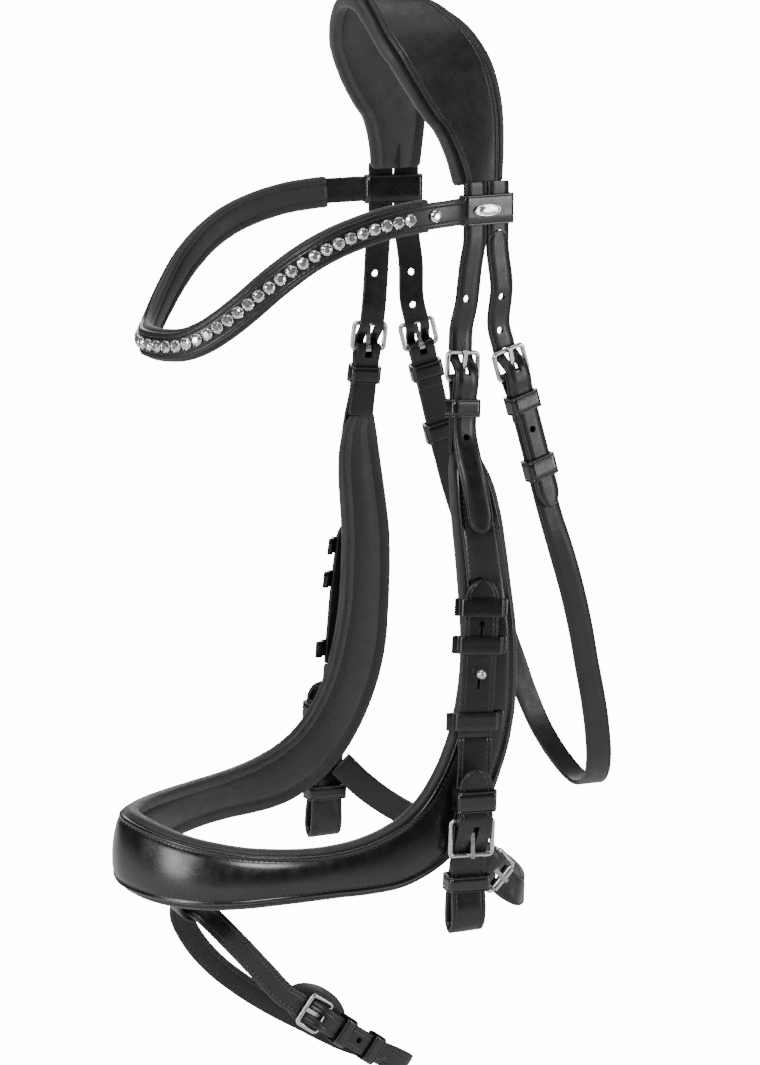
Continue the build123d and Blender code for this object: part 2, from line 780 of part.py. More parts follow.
THROAT_PATH = [
    [65.3, 83.5, -304],
    [63.5, 91, -326],
    [60.6, 98, -349],
    [56, 104.5, -371],
    [51.5, 111, -392],
    [46, 117, -413],
    [37, 123, -433],
    [23, 128.5, -448.5],
    [9, 131.3, -456],
    [0, 131.8, -457.5],
]


def throat_rows():
    """Left half of the strap, from its chape to the centre plane."""
    rows = []
    for z in (-18.0, -50.0, -84.0):
        p = THROAT.from_local_coords(Vector(0, 0, z))
        rows.append([*design(p), *THROAT.x_dir, THROAT_W])
    for x, y, z in THROAT_PATH:
        rows.append([x, y, z, x + 2, 0, (z + 380) * 1.3 if z < -380 else 0, THROAT_W])
    for r in rows:
        n = Vector(*r[3:6]).normalized()
        r[3:6] = [n.X, n.Y, n.Z]
    rows[-1][3:6] = [0, 0, -1]
    return rows


def throatlash_strap():
    """Strap under the throat, with a chape at each end."""
    belt = flat_strap(strap_frames(both_sides(throat_rows()), 14.0), STRAP_T)
    left = lift(chape(THROAT_W, 26), THROAT)
    right = mirror(left, about=Plane.YZ)
    return (belt + left + right).solid()


def stack_keeper(width, height=KEEPER_H):
    """Keeper round a billet lying on a chape."""
    back = -(CHAPE_T + LAY_GAP / 2)
    return keeper(width, back, CHAPE_T + LAY_GAP * 1.5 + STRAP_T, height)


def slide_keeper(width, height=KEEPER_H):
    """Loose keeper round a billet lying on a single strap."""
    return keeper(width, -STRAP_T / 2, CHAPE_T + LAY_GAP * 1.5 + STRAP_T, height)


# ---------------------------------------------------------------- jaw strap

JAW = fitting((86.4, 27.6, -471.2), (-0.163, 0.673, -0.721), (0.985, 0.16, -0.07))
JAW_PATH = [
    # from the noseband's right end round behind the jaw
    [-90.2, 13.6, -456.4],
    [-87.0, 27, -470.6],
    [-82.0, 40, -481.5],
    [-72, 52.5, -489.5],
    [-52, 64.5, -495],
    [-27, 71.5, -498],
    [0, 74, -499],
    [27, 72.5, -499],
    [50, 67, -498.5],
    [67, 58.5, -497],
    [77.5, 49, -492.5],
]


def jaw_strap():
    rows = []
    for x, y, z in JAW_PATH:
        n = Vector(x, max(y - 20, 0) * 1.6 + 8, 0).normalized()
        rows.append([x, y, z, n.X, n.Y, 0, JAW_W])
    rows += billet_rows(JAW, BAR_PITCH, STRAP_T, 23, -17, JAW_W, ROLLER_R)
    strap = flat_strap(strap_frames(billet_tip(rows, 4.0), 5.0), STRAP_T, 5)
    return (strap - lift(tongue_slot(BAR_PITCH, ROLLER_R), JAW)).solid()


def jaw_roller():
    tube = Cylinder(ROLLER_R, JAW_W - 1.0, rotation=(90, 0, 0))
    tube = tube - Cylinder(WIRE_R + ROLLER_RUN, 40, rotation=(90, 0, 0))
    return lift(tube.solid().moved(Location((0, 0, BAR_PITCH))), JAW)


# ---------------------------------------------------------------- flash strap

FLASH_PIVOT = (0, -118, -500)
FLASH = fitting(central(25.0, -46.5, -572.7), (0.1, -0.8, 0.59), (0.995, 0.09, -0.05))
FLASH_LOOP_R = 8.0         # inside the leather loop under the noseband
FLASH_LOOP_W = 18.0


def flash_row(x, y, z, nx, ny, nz):
    return [*central(x, y, z), nx, ny, nz, FLASH_W]


def flash_billet():
    """Left branch of the flash strap: from the noseband's loop through the buckle."""
    rows = [flash_row(0.3, -118, -500, 0, -0.53, 0.848),
            flash_row(9, -117.6, -500.6, 0.1, -0.53, 0.84),
            flash_row(18, -114, -504, 0.6, -0.42, 0.68),
            flash_row(23.6, -107.5, -511.5, 0.95, -0.1, 0.2),
            flash_row(25.6, -98, -522.5, 1, 0, 0),
            flash_row(25.8, -84, -539, 1, 0, 0)]
    rows += billet_rows(FLASH, BAR_PITCH, STRAP_T, 27, -50, FLASH_W)
    strap = flat_strap(strap_frames(billet_tip(rows, 8.0), 5.0), STRAP_T, 4)
    strap = strap - lift(tongue_slot(BAR_PITCH), FLASH)
    for k in (1, 2):
        p = FLASH.from_local_coords(Vector(3.3, 0, 4 - 15 * k))
        strap = strap - punch(p, FLASH.x_dir, 1.8, 6.0)
    return strap.solid()


def flash_strap():
    """Rest of the flash strap: chape, turn behind the chin and right branch."""
    rows = []
    for z in (-12, -30, -50):
        p = FLASH.from_local_coords(Vector(0, 0, z))
        rows.append([*design(p), 1, 0, 0, FLASH_W])
    rows += [flash_row(16.6, 4.5, -609.6, 0.9, 0.4, -0.2),
            flash_row(11, 11.6, -614.2, 0.5, 0.7, -0.5),
            flash_row(4, 13.8, -615.8, 0, 0.8, -0.6),
            flash_row(-2.6, 10.6, -614.6, -0.6, 0.6, -0.5),
            flash_row(-8, 1.5, -610.4, -0.95, 0.2, -0.2),
            flash_row(-14, -18, -602, -1, 0.1, 0),
            flash_row(-19, -39, -589.5, -1, 0, 0),
            flash_row(-22, -59, -577, -1, 0, 0),
            flash_row(-24, -78, -563, -1, 0, 0),
            flash_row(-25, -94, -548.5, -1, 0, 0),
            flash_row(-25, -107, -532, -1, 0, 0),
            flash_row(-23.6, -114.8, -516.5, -0.97, -0.1, 0.2),
            flash_row(-18, -117.6, -505.4, -0.6, -0.42, 0.68),
            flash_row(-9, -118.2, -500.8, -0.1, -0.53, 0.84),
            flash_row(-0.3, -118, -500, 0, -0.53, 0.848)]
    belt = flat_strap(strap_frames(rows, 9.0), STRAP_T)
    return (belt + lift(chape(FLASH_W, 18), FLASH)).solid()


def flash_safe():
    """Rounded leather safe behind the flash buckle."""
    plane = Plane(origin=FLASH.from_local_coords(Vector(-7.4, 2.5, 4)),
                  x_dir=FLASH.z_dir, z_dir=FLASH.x_dir)
    return lift(extrude(Sketch() + Ellipse(23, 12.5), 1.8).solid(), plane)


def flash_loop():
    """Leather loop under the noseband's front, the flash strap's bearing."""
    tube = Cylinder(FLASH_LOOP_R + 2.0, FLASH_LOOP_W, rotation=(0, 90, 0))
    bore = Cylinder(FLASH_LOOP_R, FLASH_LOOP_W + 4, rotation=(0, 90, 0))
    web = Box(FLASH_LOOP_W, 30, 3.6, align=(Align.CENTER, Align.MAX, Align.CENTER))
    web = web.moved(Location((0, 0, 0), (-18, 0, 0)))
    loop = (tube + web - bore).solid()
    return loop.moved(Location(at(*FLASH_PIVOT)))


def flash_keepers():
    near = stack_keeper(FLASH_W, 8.0).moved(Location((0, 0, -14.5)))
    end = slide_keeper(FLASH_W, 8.0).moved(Location((0, 0, -38)))
    return Compound(children=[lift(near, FLASH), lift(end, FLASH)])


# ---------------------------------------------------------------- export

def headpiece_parts():
    save("crown_padding", crown_padding())
    save("crown_leather", crown_leather())
    save("billet_roots", with_mirror([billet_roots()]))
    save_pair("cheek_billet", cheek_billet())


def browband_parts():
    save("browband_leather", browband_leather())
    save("browband_padding", browband_padding())
    save_pair("browband_loop", browband_loop())
    stones, cups = crystals_and_settings()
    save("browband_crystals", stones)
    save("crystal_settings", cups)
    save("browband_badge", browband_badge())


def cheek_parts():
    save_pair("cheek_buckle", lift(wire_frame(BILLET_W, BAR_PITCH), CHEEK))
    save_pair("cheek_tongue", lift(tongue(BAR_PITCH), CHEEK))
    save_pair("cheek_chape", cheek_chape())
    ring = stack_keeper(BILLET_W).moved(Location((0, 0, -15.5)))
    save("cheek_keepers", with_mirror([lift(ring, CHEEK)]))


def noseband_parts():
    save("noseband_padding", noseband_padding())
    save("noseband_leather", noseband_leather())
    save_pair("noseband_keepers", noseband_keepers())
    save("hook_studs", with_mirror([hook_stud()]))


def bit_strap_parts():
    save_pair("bit_strap", bit_strap())
    save_pair("bit_strap_fold", bit_strap_fold())
    save_pair("bit_buckle", lift(wire_frame(BIT_STRAP_W, BIT_BAR_PITCH), BIT))
    save_pair("bit_tongue", lift(tongue(BIT_BAR_PITCH), BIT))
    save_pair("bit_chape", lift(chape(BIT_STRAP_W, 20), BIT))
    save_pair("bit_keepers", bit_keepers())


def throatlash_parts():
    save_pair("throatlash_billet", throatlash_billet())
    save("throatlash_strap", throatlash_strap())
    save_pair("throatlash_buckle", lift(wire_frame(THROAT_W, BAR_PITCH), THROAT))
    save_pair("throatlash_tongue", lift(tongue(BAR_PITCH), THROAT))
    fixed = stack_keeper(THROAT_W).moved(Location((0, 0, -15.5)))
    save("throatlash_keepers", with_mirror([lift(fixed, THROAT)]))
    loose = slide_keeper(THROAT_W, 12.0).moved(Location((0, 0, -54)))
    save_pair("throatlash_slider", lift(loose, THROAT))


def jaw_parts():
    save("jaw_strap", jaw_strap())
    save("jaw_tab", lift(chape(JAW_W, 22.3), JAW))
    save("jaw_buckle", lift(wire_frame(JAW_W, BAR_PITCH), JAW))
    save("jaw_roller", jaw_roller())
    save("jaw_tongue", lift(tongue(BAR_PITCH, ROLLER_R), JAW))


def flash_parts():
    save("flash_loop", flash_loop())
    save("flash_strap", flash_strap())
    save("flash_billet", flash_billet())
    save("flash_buckle", lift(wire_frame(FLASH_W, BAR_PITCH), FLASH))
    save("flash_tongue", lift(tongue(BAR_PITCH), FLASH))
    save("flash_safe", flash_safe())
    save("flash_keepers", flash_keepers())


headpiece_parts()
browband_parts()
cheek_parts()
noseband_parts()
bit_strap_parts()
throatlash_parts()
jaw_parts()
flash_parts()
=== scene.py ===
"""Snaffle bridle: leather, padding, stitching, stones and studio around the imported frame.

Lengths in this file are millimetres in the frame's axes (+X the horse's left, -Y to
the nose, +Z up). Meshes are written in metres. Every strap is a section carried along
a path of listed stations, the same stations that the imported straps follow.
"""

import logging
import math
from dataclasses import dataclass, field, replace
from enum import Enum

import bpy
import numpy as np
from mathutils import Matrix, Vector


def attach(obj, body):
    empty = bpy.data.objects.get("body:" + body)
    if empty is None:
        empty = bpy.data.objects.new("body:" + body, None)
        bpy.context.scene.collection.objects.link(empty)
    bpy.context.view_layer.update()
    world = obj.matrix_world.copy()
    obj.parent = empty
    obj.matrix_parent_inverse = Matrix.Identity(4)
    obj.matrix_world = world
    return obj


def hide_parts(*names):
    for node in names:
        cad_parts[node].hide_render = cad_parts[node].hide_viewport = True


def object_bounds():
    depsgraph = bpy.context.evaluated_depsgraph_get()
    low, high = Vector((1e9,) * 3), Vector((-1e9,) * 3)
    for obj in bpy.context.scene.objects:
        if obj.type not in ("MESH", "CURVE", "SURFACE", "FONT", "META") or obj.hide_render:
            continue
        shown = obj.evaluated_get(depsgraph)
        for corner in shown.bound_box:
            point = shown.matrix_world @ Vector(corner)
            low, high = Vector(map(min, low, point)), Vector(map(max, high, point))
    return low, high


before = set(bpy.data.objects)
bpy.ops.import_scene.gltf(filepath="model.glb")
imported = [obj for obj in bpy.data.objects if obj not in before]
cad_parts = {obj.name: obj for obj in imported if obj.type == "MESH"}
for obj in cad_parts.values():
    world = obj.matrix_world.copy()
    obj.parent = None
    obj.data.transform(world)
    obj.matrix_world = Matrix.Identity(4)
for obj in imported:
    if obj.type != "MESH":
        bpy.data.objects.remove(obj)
CAD_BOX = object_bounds()
LOG = logging.getLogger("bridle")

MM = 0.001
Array = np.ndarray


# ------------------------------------------------------------------ paths

def unit(v: Array) -> Array:
    """Vectors scaled to length one along the last axis."""
    return v / np.maximum(np.linalg.norm(v, axis=-1, keepdims=True), 1e-9)


def smooth_rows(rows: Array, step: float) -> Array:
    """Rows resampled evenly along a smooth curve through their points.

    Each column is a cubic Hermite curve over chord length. The slope at a row is the
    mean of the slopes on both sides, each weighted by the length of the other side; the
    first and last rows take the slope of their only side.

    Args:
        rows: one row per station; the first three numbers are a point.
        step: wanted spacing along the curve.

    Returns:
        The resampled rows, both ends included.
    """
    rows = np.asarray(rows, float)
    chord = np.linalg.norm(np.diff(rows[:, :3], axis=0), axis=1)
    rate = np.diff(rows, axis=0) / chord[:, None]
    slope = np.vstack([rate[:1], rate[-1:]]) if len(rows) == 2 else np.vstack([
        rate[:1],
        (rate[:-1] * chord[1:, None] + rate[1:] * chord[:-1, None])
        / (chord[:-1] + chord[1:])[:, None],
        rate[-1:]])
    u = np.linspace(0, 1, 24, endpoint=False)[None, :, None]
    a, b = rows[:-1, None], rows[1:, None]
    da, db = slope[:-1, None] * chord[:, None, None], slope[1:, None] * chord[:, None, None]
    fine = (a * (2 * u ** 3 - 3 * u ** 2 + 1) + da * (u ** 3 - 2 * u ** 2 + u)
            + b * (3 * u ** 2 - 2 * u ** 3) + db * (u ** 3 - u ** 2))
    fine = np.vstack([fine.reshape(-1, rows.shape[1]), rows[-1:]])
    s = np.concatenate([[0], np.cumsum(np.linalg.norm(np.diff(fine[:, :3], axis=0), axis=1))])
    wanted = np.linspace(0, s[-1], max(3, round(s[-1] / step) + 1))
    return np.stack([np.interp(wanted, s, column) for column in fine.T], axis=1)


@dataclass(frozen=True)
class Path:
    """Stations along a strap: point, tangent, face normal, width direction and width."""

    p: Array
    t: Array
    m: Array
    w: Array
    width: Array

    @property
    def s(self) -> Array:
        """Length along the path at each station."""
        steps = np.linalg.norm(np.diff(self.p, axis=0), axis=1)
        return np.concatenate([[0], np.cumsum(steps)])

    @property
    def length(self) -> float:
        """Whole length of the path."""
        return float(self.s[-1])

    @classmethod
    def strap(cls, rows: list, step: float = 1.5) -> "Path":
        """Path from rows of point, face normal and width."""
        fine = smooth_rows(rows, step)
        return cls.facing(fine[:, :3], fine[:, 3:6], fine[:, 6])

    @classmethod
    def facing(cls, p: Array, n: Array, width: Array) -> "Path":
        """Path from points and rough face normals.

        Args:
            p: points along the strap.
            n: roughly the outer face's normal at each point.
            width: the strap's width at each point.

        Returns:
            The path, its normals square to its tangents.
        """
        t = unit(np.gradient(p, axis=0))
        w = unit(np.cross(n, t))
        return cls(p, t, unit(np.cross(t, w)), w, np.broadcast_to(width, len(p)).astype(float))

    @classmethod
    def edges(cls, rows: list, side: int = 1, step: float = 2.0) -> "Path":
        """Path midway between two facing edge curves.

        Args:
            rows: a point on the front or top edge, then one on the rear or bottom edge.
            side: which way the face normals point, 1 or -1.
            step: spacing of the stations.

        Returns:
            The path, as wide as the edges are apart.
        """
        fine = smooth_rows(rows, step)
        a, b = fine[:, :3], fine[:, 3:6]
        p = (a + b) / 2
        t = unit(np.gradient(p, axis=0))
        m = unit(np.cross(unit(b - a), t)) * side
        return cls(p, t, m, unit(np.cross(t, m)), np.linalg.norm(b - a, axis=1))

    def mirrored(self) -> "Path":
        """The path reflected in the centre plane."""
        flip = np.array([-1.0, 1.0, 1.0])
        return Path(self.p * flip, self.t * flip, self.m * flip, self.w * flip, self.width)

    def on(self, side: "Side") -> "Path":
        """The left path as it is, or its reflection for the right side."""
        return self if side is Side.LEFT else self.mirrored()

    def between(self, start: float, end: float) -> "Path":
        """The stretch from one length along the path to another.

        Args:
            start: length where the stretch begins.
            end: length where it ends.

        Returns:
            The path of that stretch alone.
        """
        s = self.s
        keep = (s >= start) & (s <= end)
        return Path(self.p[keep], self.t[keep], self.m[keep], self.w[keep], self.width[keep])

    def rounded(self, start: float = 0.0, end: float = 0.0) -> "Path":
        """Widths that follow a quarter ellipse over a length at either end.

        Args:
            start: length rounded at the path's start, 0 for none.
            end: length rounded at its end, 0 for none.

        Returns:
            The path with its new widths.
        """
        k = np.ones(len(self.p))
        for reach, s in ((start, self.s), (end, self.length - self.s)):
            if reach:
                k *= np.sqrt(np.clip(1 - np.clip(1 - s / reach, 0, 1) ** 2, 0.005, 1))
        return replace(self, width=self.width * k)

    def hole(self, z: float) -> "Surface":
        """Cutter of a punched hole where the path passes a height."""
        k = int(np.argmin(np.abs(self.p[:, 2] - z)))
        return rod_cutter(self.p[k], self.m[k], SIZE.hole, 8)

    def sample(self, s: Array) -> tuple[Array, Array, Array, Array, Array]:
        """Values at lengths along the path, interpolated between stations.

        Args:
            s: lengths along the path.

        Returns:
            Points, tangents, normals, width directions and widths.
        """
        own = self.s
        parts = [np.stack([np.interp(s, own, c) for c in v.T], axis=1)
                 for v in (self.p, self.t, self.m, self.w)]
        return parts[0], unit(parts[1]), unit(parts[2]), unit(parts[3]), np.interp(s, own, self.width)


class Side(Enum):
    """The two sides of the bridle."""

    LEFT = "left"
    RIGHT = "right"


@dataclass(frozen=True)
class Fitting:
    """Local frame of a buckle or keeper: x outwards, y across, z up the strap."""

    origin: tuple[float, float, float]
    up: tuple[float, float, float]
    out: tuple[float, float, float]

    @property
    def axes(self) -> Array:
        """Rows x, y and z, with x squared up to z.

        Returns:
            Three unit rows.
        """
        z = unit(np.array(self.up, float))
        x = np.array(self.out, float)
        x = unit(x - z * (x @ z))
        return np.stack([x, np.cross(z, x), z])

    def place(self, local: Array) -> Array:
        """Local coordinates turned into the bridle's frame."""
        return np.array(self.origin) + np.asarray(local, float) @ self.axes

    def band(self, outline: Array, height: float, along_y: bool = True) -> Path:
        """Path round a closed or open outline that a leather band follows.

        Args:
            outline: (x, y) points, or (x, z) points where along_y is False.
            height: width of the band, along z, or along y where along_y is False.
            along_y: which plane the outline lies in.

        Returns:
            The path, its normals on the left of the way it runs.
        """
        zero = np.zeros(len(outline))
        cols = [outline[:, 0], outline[:, 1], zero] if along_y else [outline[:, 0], zero, outline[:, 1]]
        p = self.place(np.stack(cols, axis=1))
        w = self.axes[2 if along_y else 1]
        t = unit(np.gradient(p, axis=0))
        if np.allclose(p[0], p[-1]):
            t[0] = t[-1] = unit(p[1] - p[-2])
        m = unit(np.cross(t, np.broadcast_to(w, t.shape)))
        return Path(p, t, m, np.broadcast_to(w, t.shape), np.full(len(p), height))


def filleted(points: list, radius: float, step: float = 0.8) -> Array:
    """Flat outline with every inner corner rounded by an arc.

    Args:
        points: corner points of the outline.
        radius: radius of the arcs.
        step: spacing of points on the straight runs.

    Returns:
        Points along the outline.
    """
    pts = np.asarray(points, float)
    out = [pts[:1]]
    for a, b, c in zip(pts, pts[1:], pts[2:]):
        u, v = unit(a - b), unit(c - b)
        half = math.acos(float(np.clip(u @ v, -1, 1))) / 2
        reach = min(radius / math.tan(half), 0.49 * min(np.linalg.norm(a - b), np.linalg.norm(c - b)))
        centre = b + unit(u + v) * reach / math.cos(half)
        first, last = b + u * reach - centre, b + v * reach - centre
        k = np.linspace(0, 1, 7)[:, None]
        arc = unit(first * (1 - k) + last * k) * np.linalg.norm(first)
        out.append(arc + centre)
    out.append(pts[-1:])
    line = np.vstack(out)
    s = np.concatenate([[0], np.cumsum(np.linalg.norm(np.diff(line, axis=0), axis=1))])
    extra = np.arange(0, s[-1], step)
    wanted = np.unique(np.concatenate([s, extra]))
    wanted = wanted[np.concatenate([[True], np.diff(wanted) > 0.12])]
    return np.stack([np.interp(wanted, s, c) for c in line.T], axis=1)


# ------------------------------------------------------------------ surfaces

@dataclass(frozen=True)
class Surface:
    """Vertices in millimetres and faces of one closed mesh."""

    verts: Array
    faces: list

    def outward(self) -> "Surface":
        """The surface with its faces turned outwards, judged by its signed volume.

        Returns:
            The same surface, its faces reversed if they pointed inwards.
        """
        tris = np.array([(f[0], f[i], f[i + 1]) for f in self.faces for i in range(1, len(f) - 1)])
        a, b, c = (self.verts[tris[:, i]] for i in range(3))
        if np.einsum("ij,ij->i", a, np.cross(b, c)).sum() < 0:
            return Surface(self.verts, [f[::-1] for f in self.faces])
        return self

    @staticmethod
    def joined(parts: list["Surface"]) -> "Surface":
        """Several surfaces as one.

        Args:
            parts: the surfaces.

        Returns:
            One surface that holds them all, unmerged.
        """
        start = np.cumsum([0] + [len(p.verts) for p in parts])
        faces = [[i + int(k) for i in f] for p, k in zip(parts, start) for f in p.faces]
        return Surface(np.vstack([p.verts for p in parts]), faces)


def grid_faces(rows: int, cols: int, closed: bool) -> list:
    """Faces of a grid closed across its columns, and along its rows if asked.

    Args:
        rows: number of rows.
        cols: vertices in a row.
        closed: whether the last row joins the first.

    Returns:
        Quads as lists of vertex numbers.
    """
    i = np.arange(rows if closed else rows - 1)[:, None]
    j = np.arange(cols)[None, :]
    nxt, side = (i + 1) % rows, (j + 1) % cols
    quads = np.stack([i * cols + j, nxt * cols + j, nxt * cols + side, i * cols + side], axis=-1)
    return quads.reshape(-1, 4).tolist()


def swept(path: Path, section: Array, closed: bool = False) -> Surface:
    """Section carried along a path.

    A vertex is the path's point, plus the width direction times the section's first
    number, plus the face normal times its second. Open ends are drawn in over their
    last ring and closed with a fan.

    Args:
        path: stations of the sweep.
        section: (stations, corners, 2) offsets.
        closed: whether the last station joins the first.

    Returns:
        The closed surface.
    """
    sec = section.copy()
    if not closed:
        for ring in (0, -1):
            mid = sec[ring].mean(axis=0)
            sec[ring] = mid + (sec[ring] - mid) * np.array([0.94, 0.55])
    grid = path.p[:, None] + path.w[:, None] * sec[..., :1] + path.m[:, None] * sec[..., 1:]
    n, k = sec.shape[:2]
    verts = grid.reshape(-1, 3)
    faces = grid_faces(n, k, closed)
    if not closed:
        verts = np.vstack([verts, grid[0].mean(axis=0), grid[-1].mean(axis=0)])
        faces += [[(j + 1) % k, j, n * k] for j in range(k)]
        last = (n - 1) * k
        faces += [[last + j, last + (j + 1) % k, n * k + 1] for j in range(k)]
    return Surface(verts, faces).outward()


@dataclass(frozen=True)
class Profile:
    """Cross-section of a strap: edge radius, dome and lines worked into its face.

    marks are (distance from the edge, depth) pairs of the outer face, and back_marks
    those of the inner one; a crease is three pairs, the middle one deep.
    """

    low: float
    high: float
    inset: float = 0.0
    edge: float = 0.7
    dome: float = 0.0
    marks: tuple = ((1.3, 0.0), (1.65, 0.22), (2.0, 0.0))
    back_marks: tuple = ()
    back_dome: float = 0.0

    def along(self, path: Path, thin: Array | float = 1.0, dome: Array | float = 1.0) -> Array:
        """Section offsets at every station.

        The outline runs over the outer face from one edge to the other and back under
        the inner face. Edges are quarter arcs; each mark lowers the face at its
        distance from the edge; the dome is a parabola across the width.

        Args:
            path: stations, whose width the section fills less the inset.
            thin: factor on the thickness at each station.
            dome: factor on the dome at each station.

        Returns:
            (stations, corners, 2) offsets across and along the normal.
        """
        h = np.maximum(path.width / 2 - self.inset, 0.25)[:, None]
        thin = np.broadcast_to(thin, len(path.p))[:, None]
        dome = np.broadcast_to(dome, len(path.p))[:, None]
        r = min(self.edge, (self.high - self.low) / 2 * 0.98)
        fit = np.minimum(1.0, h / (max([m[0] for m in self.marks + self.back_marks] + [r]) + 0.4))
        turn = np.radians([0, 22, 45, 68, 90])

        def face(marks: tuple, level: float, sign: float, crown: float) -> tuple[Array, Array]:
            """Offsets across and along the normal of one face, from edge to edge.

            Args:
                marks: lines worked into it.
                level: its height over the path.
                sign: 1 for the outer face, -1 for the inner one.
                crown: height of its dome.

            Returns:
                Offsets across, and along the normal.
            """
            d = np.concatenate([r * (1 - np.cos(turn)), [m[0] for m in marks]])
            drop = np.concatenate([r * (1 - np.sin(turn)), [m[1] for m in marks]])
            a = -h + d[None] * fit
            middle = -a[:, -1:] * np.array([-0.45, 0.0, 0.45])[None]
            a = np.concatenate([a, middle, -a[:, ::-1]], axis=1)
            fall = np.concatenate([drop, np.zeros(3), drop[::-1]])[None] * fit
            bulge = crown * dome * np.clip(1 - (a / h) ** 2, 0, 1)
            return a, level * thin + sign * (bulge - fall * thin)

        top_a, top_b = face(self.marks, self.high, 1.0, self.dome)
        low_a, low_b = face(self.back_marks, self.low, -1.0, self.back_dome)
        a = np.concatenate([top_a, low_a[:, ::-1]], axis=1)
        b = np.concatenate([top_b, low_b[:, ::-1]], axis=1)
        return np.stack([a, b], axis=-1)


CREASE = ((1.2, 0.0), (1.55, 0.24), (1.9, 0.0))
CHAPE_CREASE = ((1.1, 0.0), (1.4, 0.15), (1.7, 0.0))
BAND_CREASE = ((0.9, 0.0), (1.2, 0.2), (1.5, 0.0))
SEAM = ((0.9, 0.0), (1.15, 0.14), (1.4, 0.0), (2.3, 0.05), (2.75, 0.3), (3.2, 0.05), (3.7, 0.0))


@dataclass(frozen=True)
class Thread:
    """A row of stitches: each one a short arch of thread, sunk at its ends."""

    pitch: float = 3.1
    length: float = 2.35
    radius: float = 0.3
    slant: float = 0.16
    rings: int = 5
    around: int = 6

    def template(self) -> Surface:
        """One stitch along x: rings round a parabolic arch, with poles at both ends.

        Returns:
            The stitch, centred on the origin.
        """
        x = np.linspace(-0.5, 0.5, self.rings)
        r = self.radius * np.sqrt(np.clip(1 - (1.72 * x) ** 2, 0.05, 1))
        turn = np.linspace(0, 2 * np.pi, self.around, endpoint=False)
        arch = self.radius * (0.55 - 4.0 * x ** 2)
        grid = np.stack([np.broadcast_to(x[:, None] * self.length, (self.rings, self.around)),
                         r[:, None] * np.cos(turn), r[:, None] * np.sin(turn) + arch[:, None]], axis=-1)
        ends = np.array([[-0.56 * self.length, 0, arch[0]], [0.56 * self.length, 0, arch[-1]]])
        n, k = self.rings, self.around
        faces = grid_faces(n, k, False)
        faces += [[(j + 1) % k, j, n * k] for j in range(k)]
        faces += [[(n - 1) * k + j, (n - 1) * k + (j + 1) % k, n * k + 1] for j in range(k)]
        return Surface(np.vstack([grid.reshape(-1, 3), ends]), faces).outward()

    def row(self, path: Path, inset: float, side: int, rise: float,
            start: float = 2.0, end: float = 2.0) -> Surface:
        """Stitches along a strap at a distance inside its edge.

        Args:
            path: the strap's path.
            inset: distance from the edge, or from the centre line where side is 0.
            side: -1 or 1 for an edge, 0 for the centre line.
            rise: height of the leather's face over the path.
            start: length left free at the path's start.
            end: length left free at its end.

        Returns:
            All stitches of the row.
        """
        s = np.arange(start, path.length - end, self.pitch)
        p, t, m, w, width = path.sample(s)
        reach = side * (width / 2 - inset)
        keep = (width / 2 - inset > 0.3) if side else np.ones(len(s), bool)
        line = p + w * reach[:, None]
        t = unit(np.gradient(line, axis=0)) if len(s) > 2 else t
        across = np.cross(m, t)
        t = unit(t + across * self.slant)
        basis = np.stack([t, np.cross(m, t), m], axis=1)[keep]
        line = (line + m * rise)[keep]
        one = self.template()
        verts = line[:, None] + np.einsum("vi,nij->nvj", one.verts, basis)
        n, k = verts.shape[:2]
        shape = np.array([f for f in one.faces if len(f) == 4])
        tips = np.array([f for f in one.faces if len(f) == 3])
        offsets = (np.arange(n) * k)[:, None, None]
        faces = (shape[None] + offsets).reshape(-1, 4).tolist()
        faces += (tips[None] + offsets).reshape(-1, 3).tolist()
        return Surface(verts.reshape(-1, 3), faces)

    def both(self, path: Path, inset: float, rise: float, start: float = 2.0, end: float = 2.0) -> Surface:
        """Rows along both edges."""
        return Surface.joined([self.row(path, inset, side, rise, start, end) for side in (-1, 1)])


# ------------------------------------------------------------------ finishes

# Sockets of a Mix node that mixes colours: two of its names are shared by other types.
MIX_FACTOR, MIX_A, MIX_B, MIX_RESULT = 0, 6, 7, 2


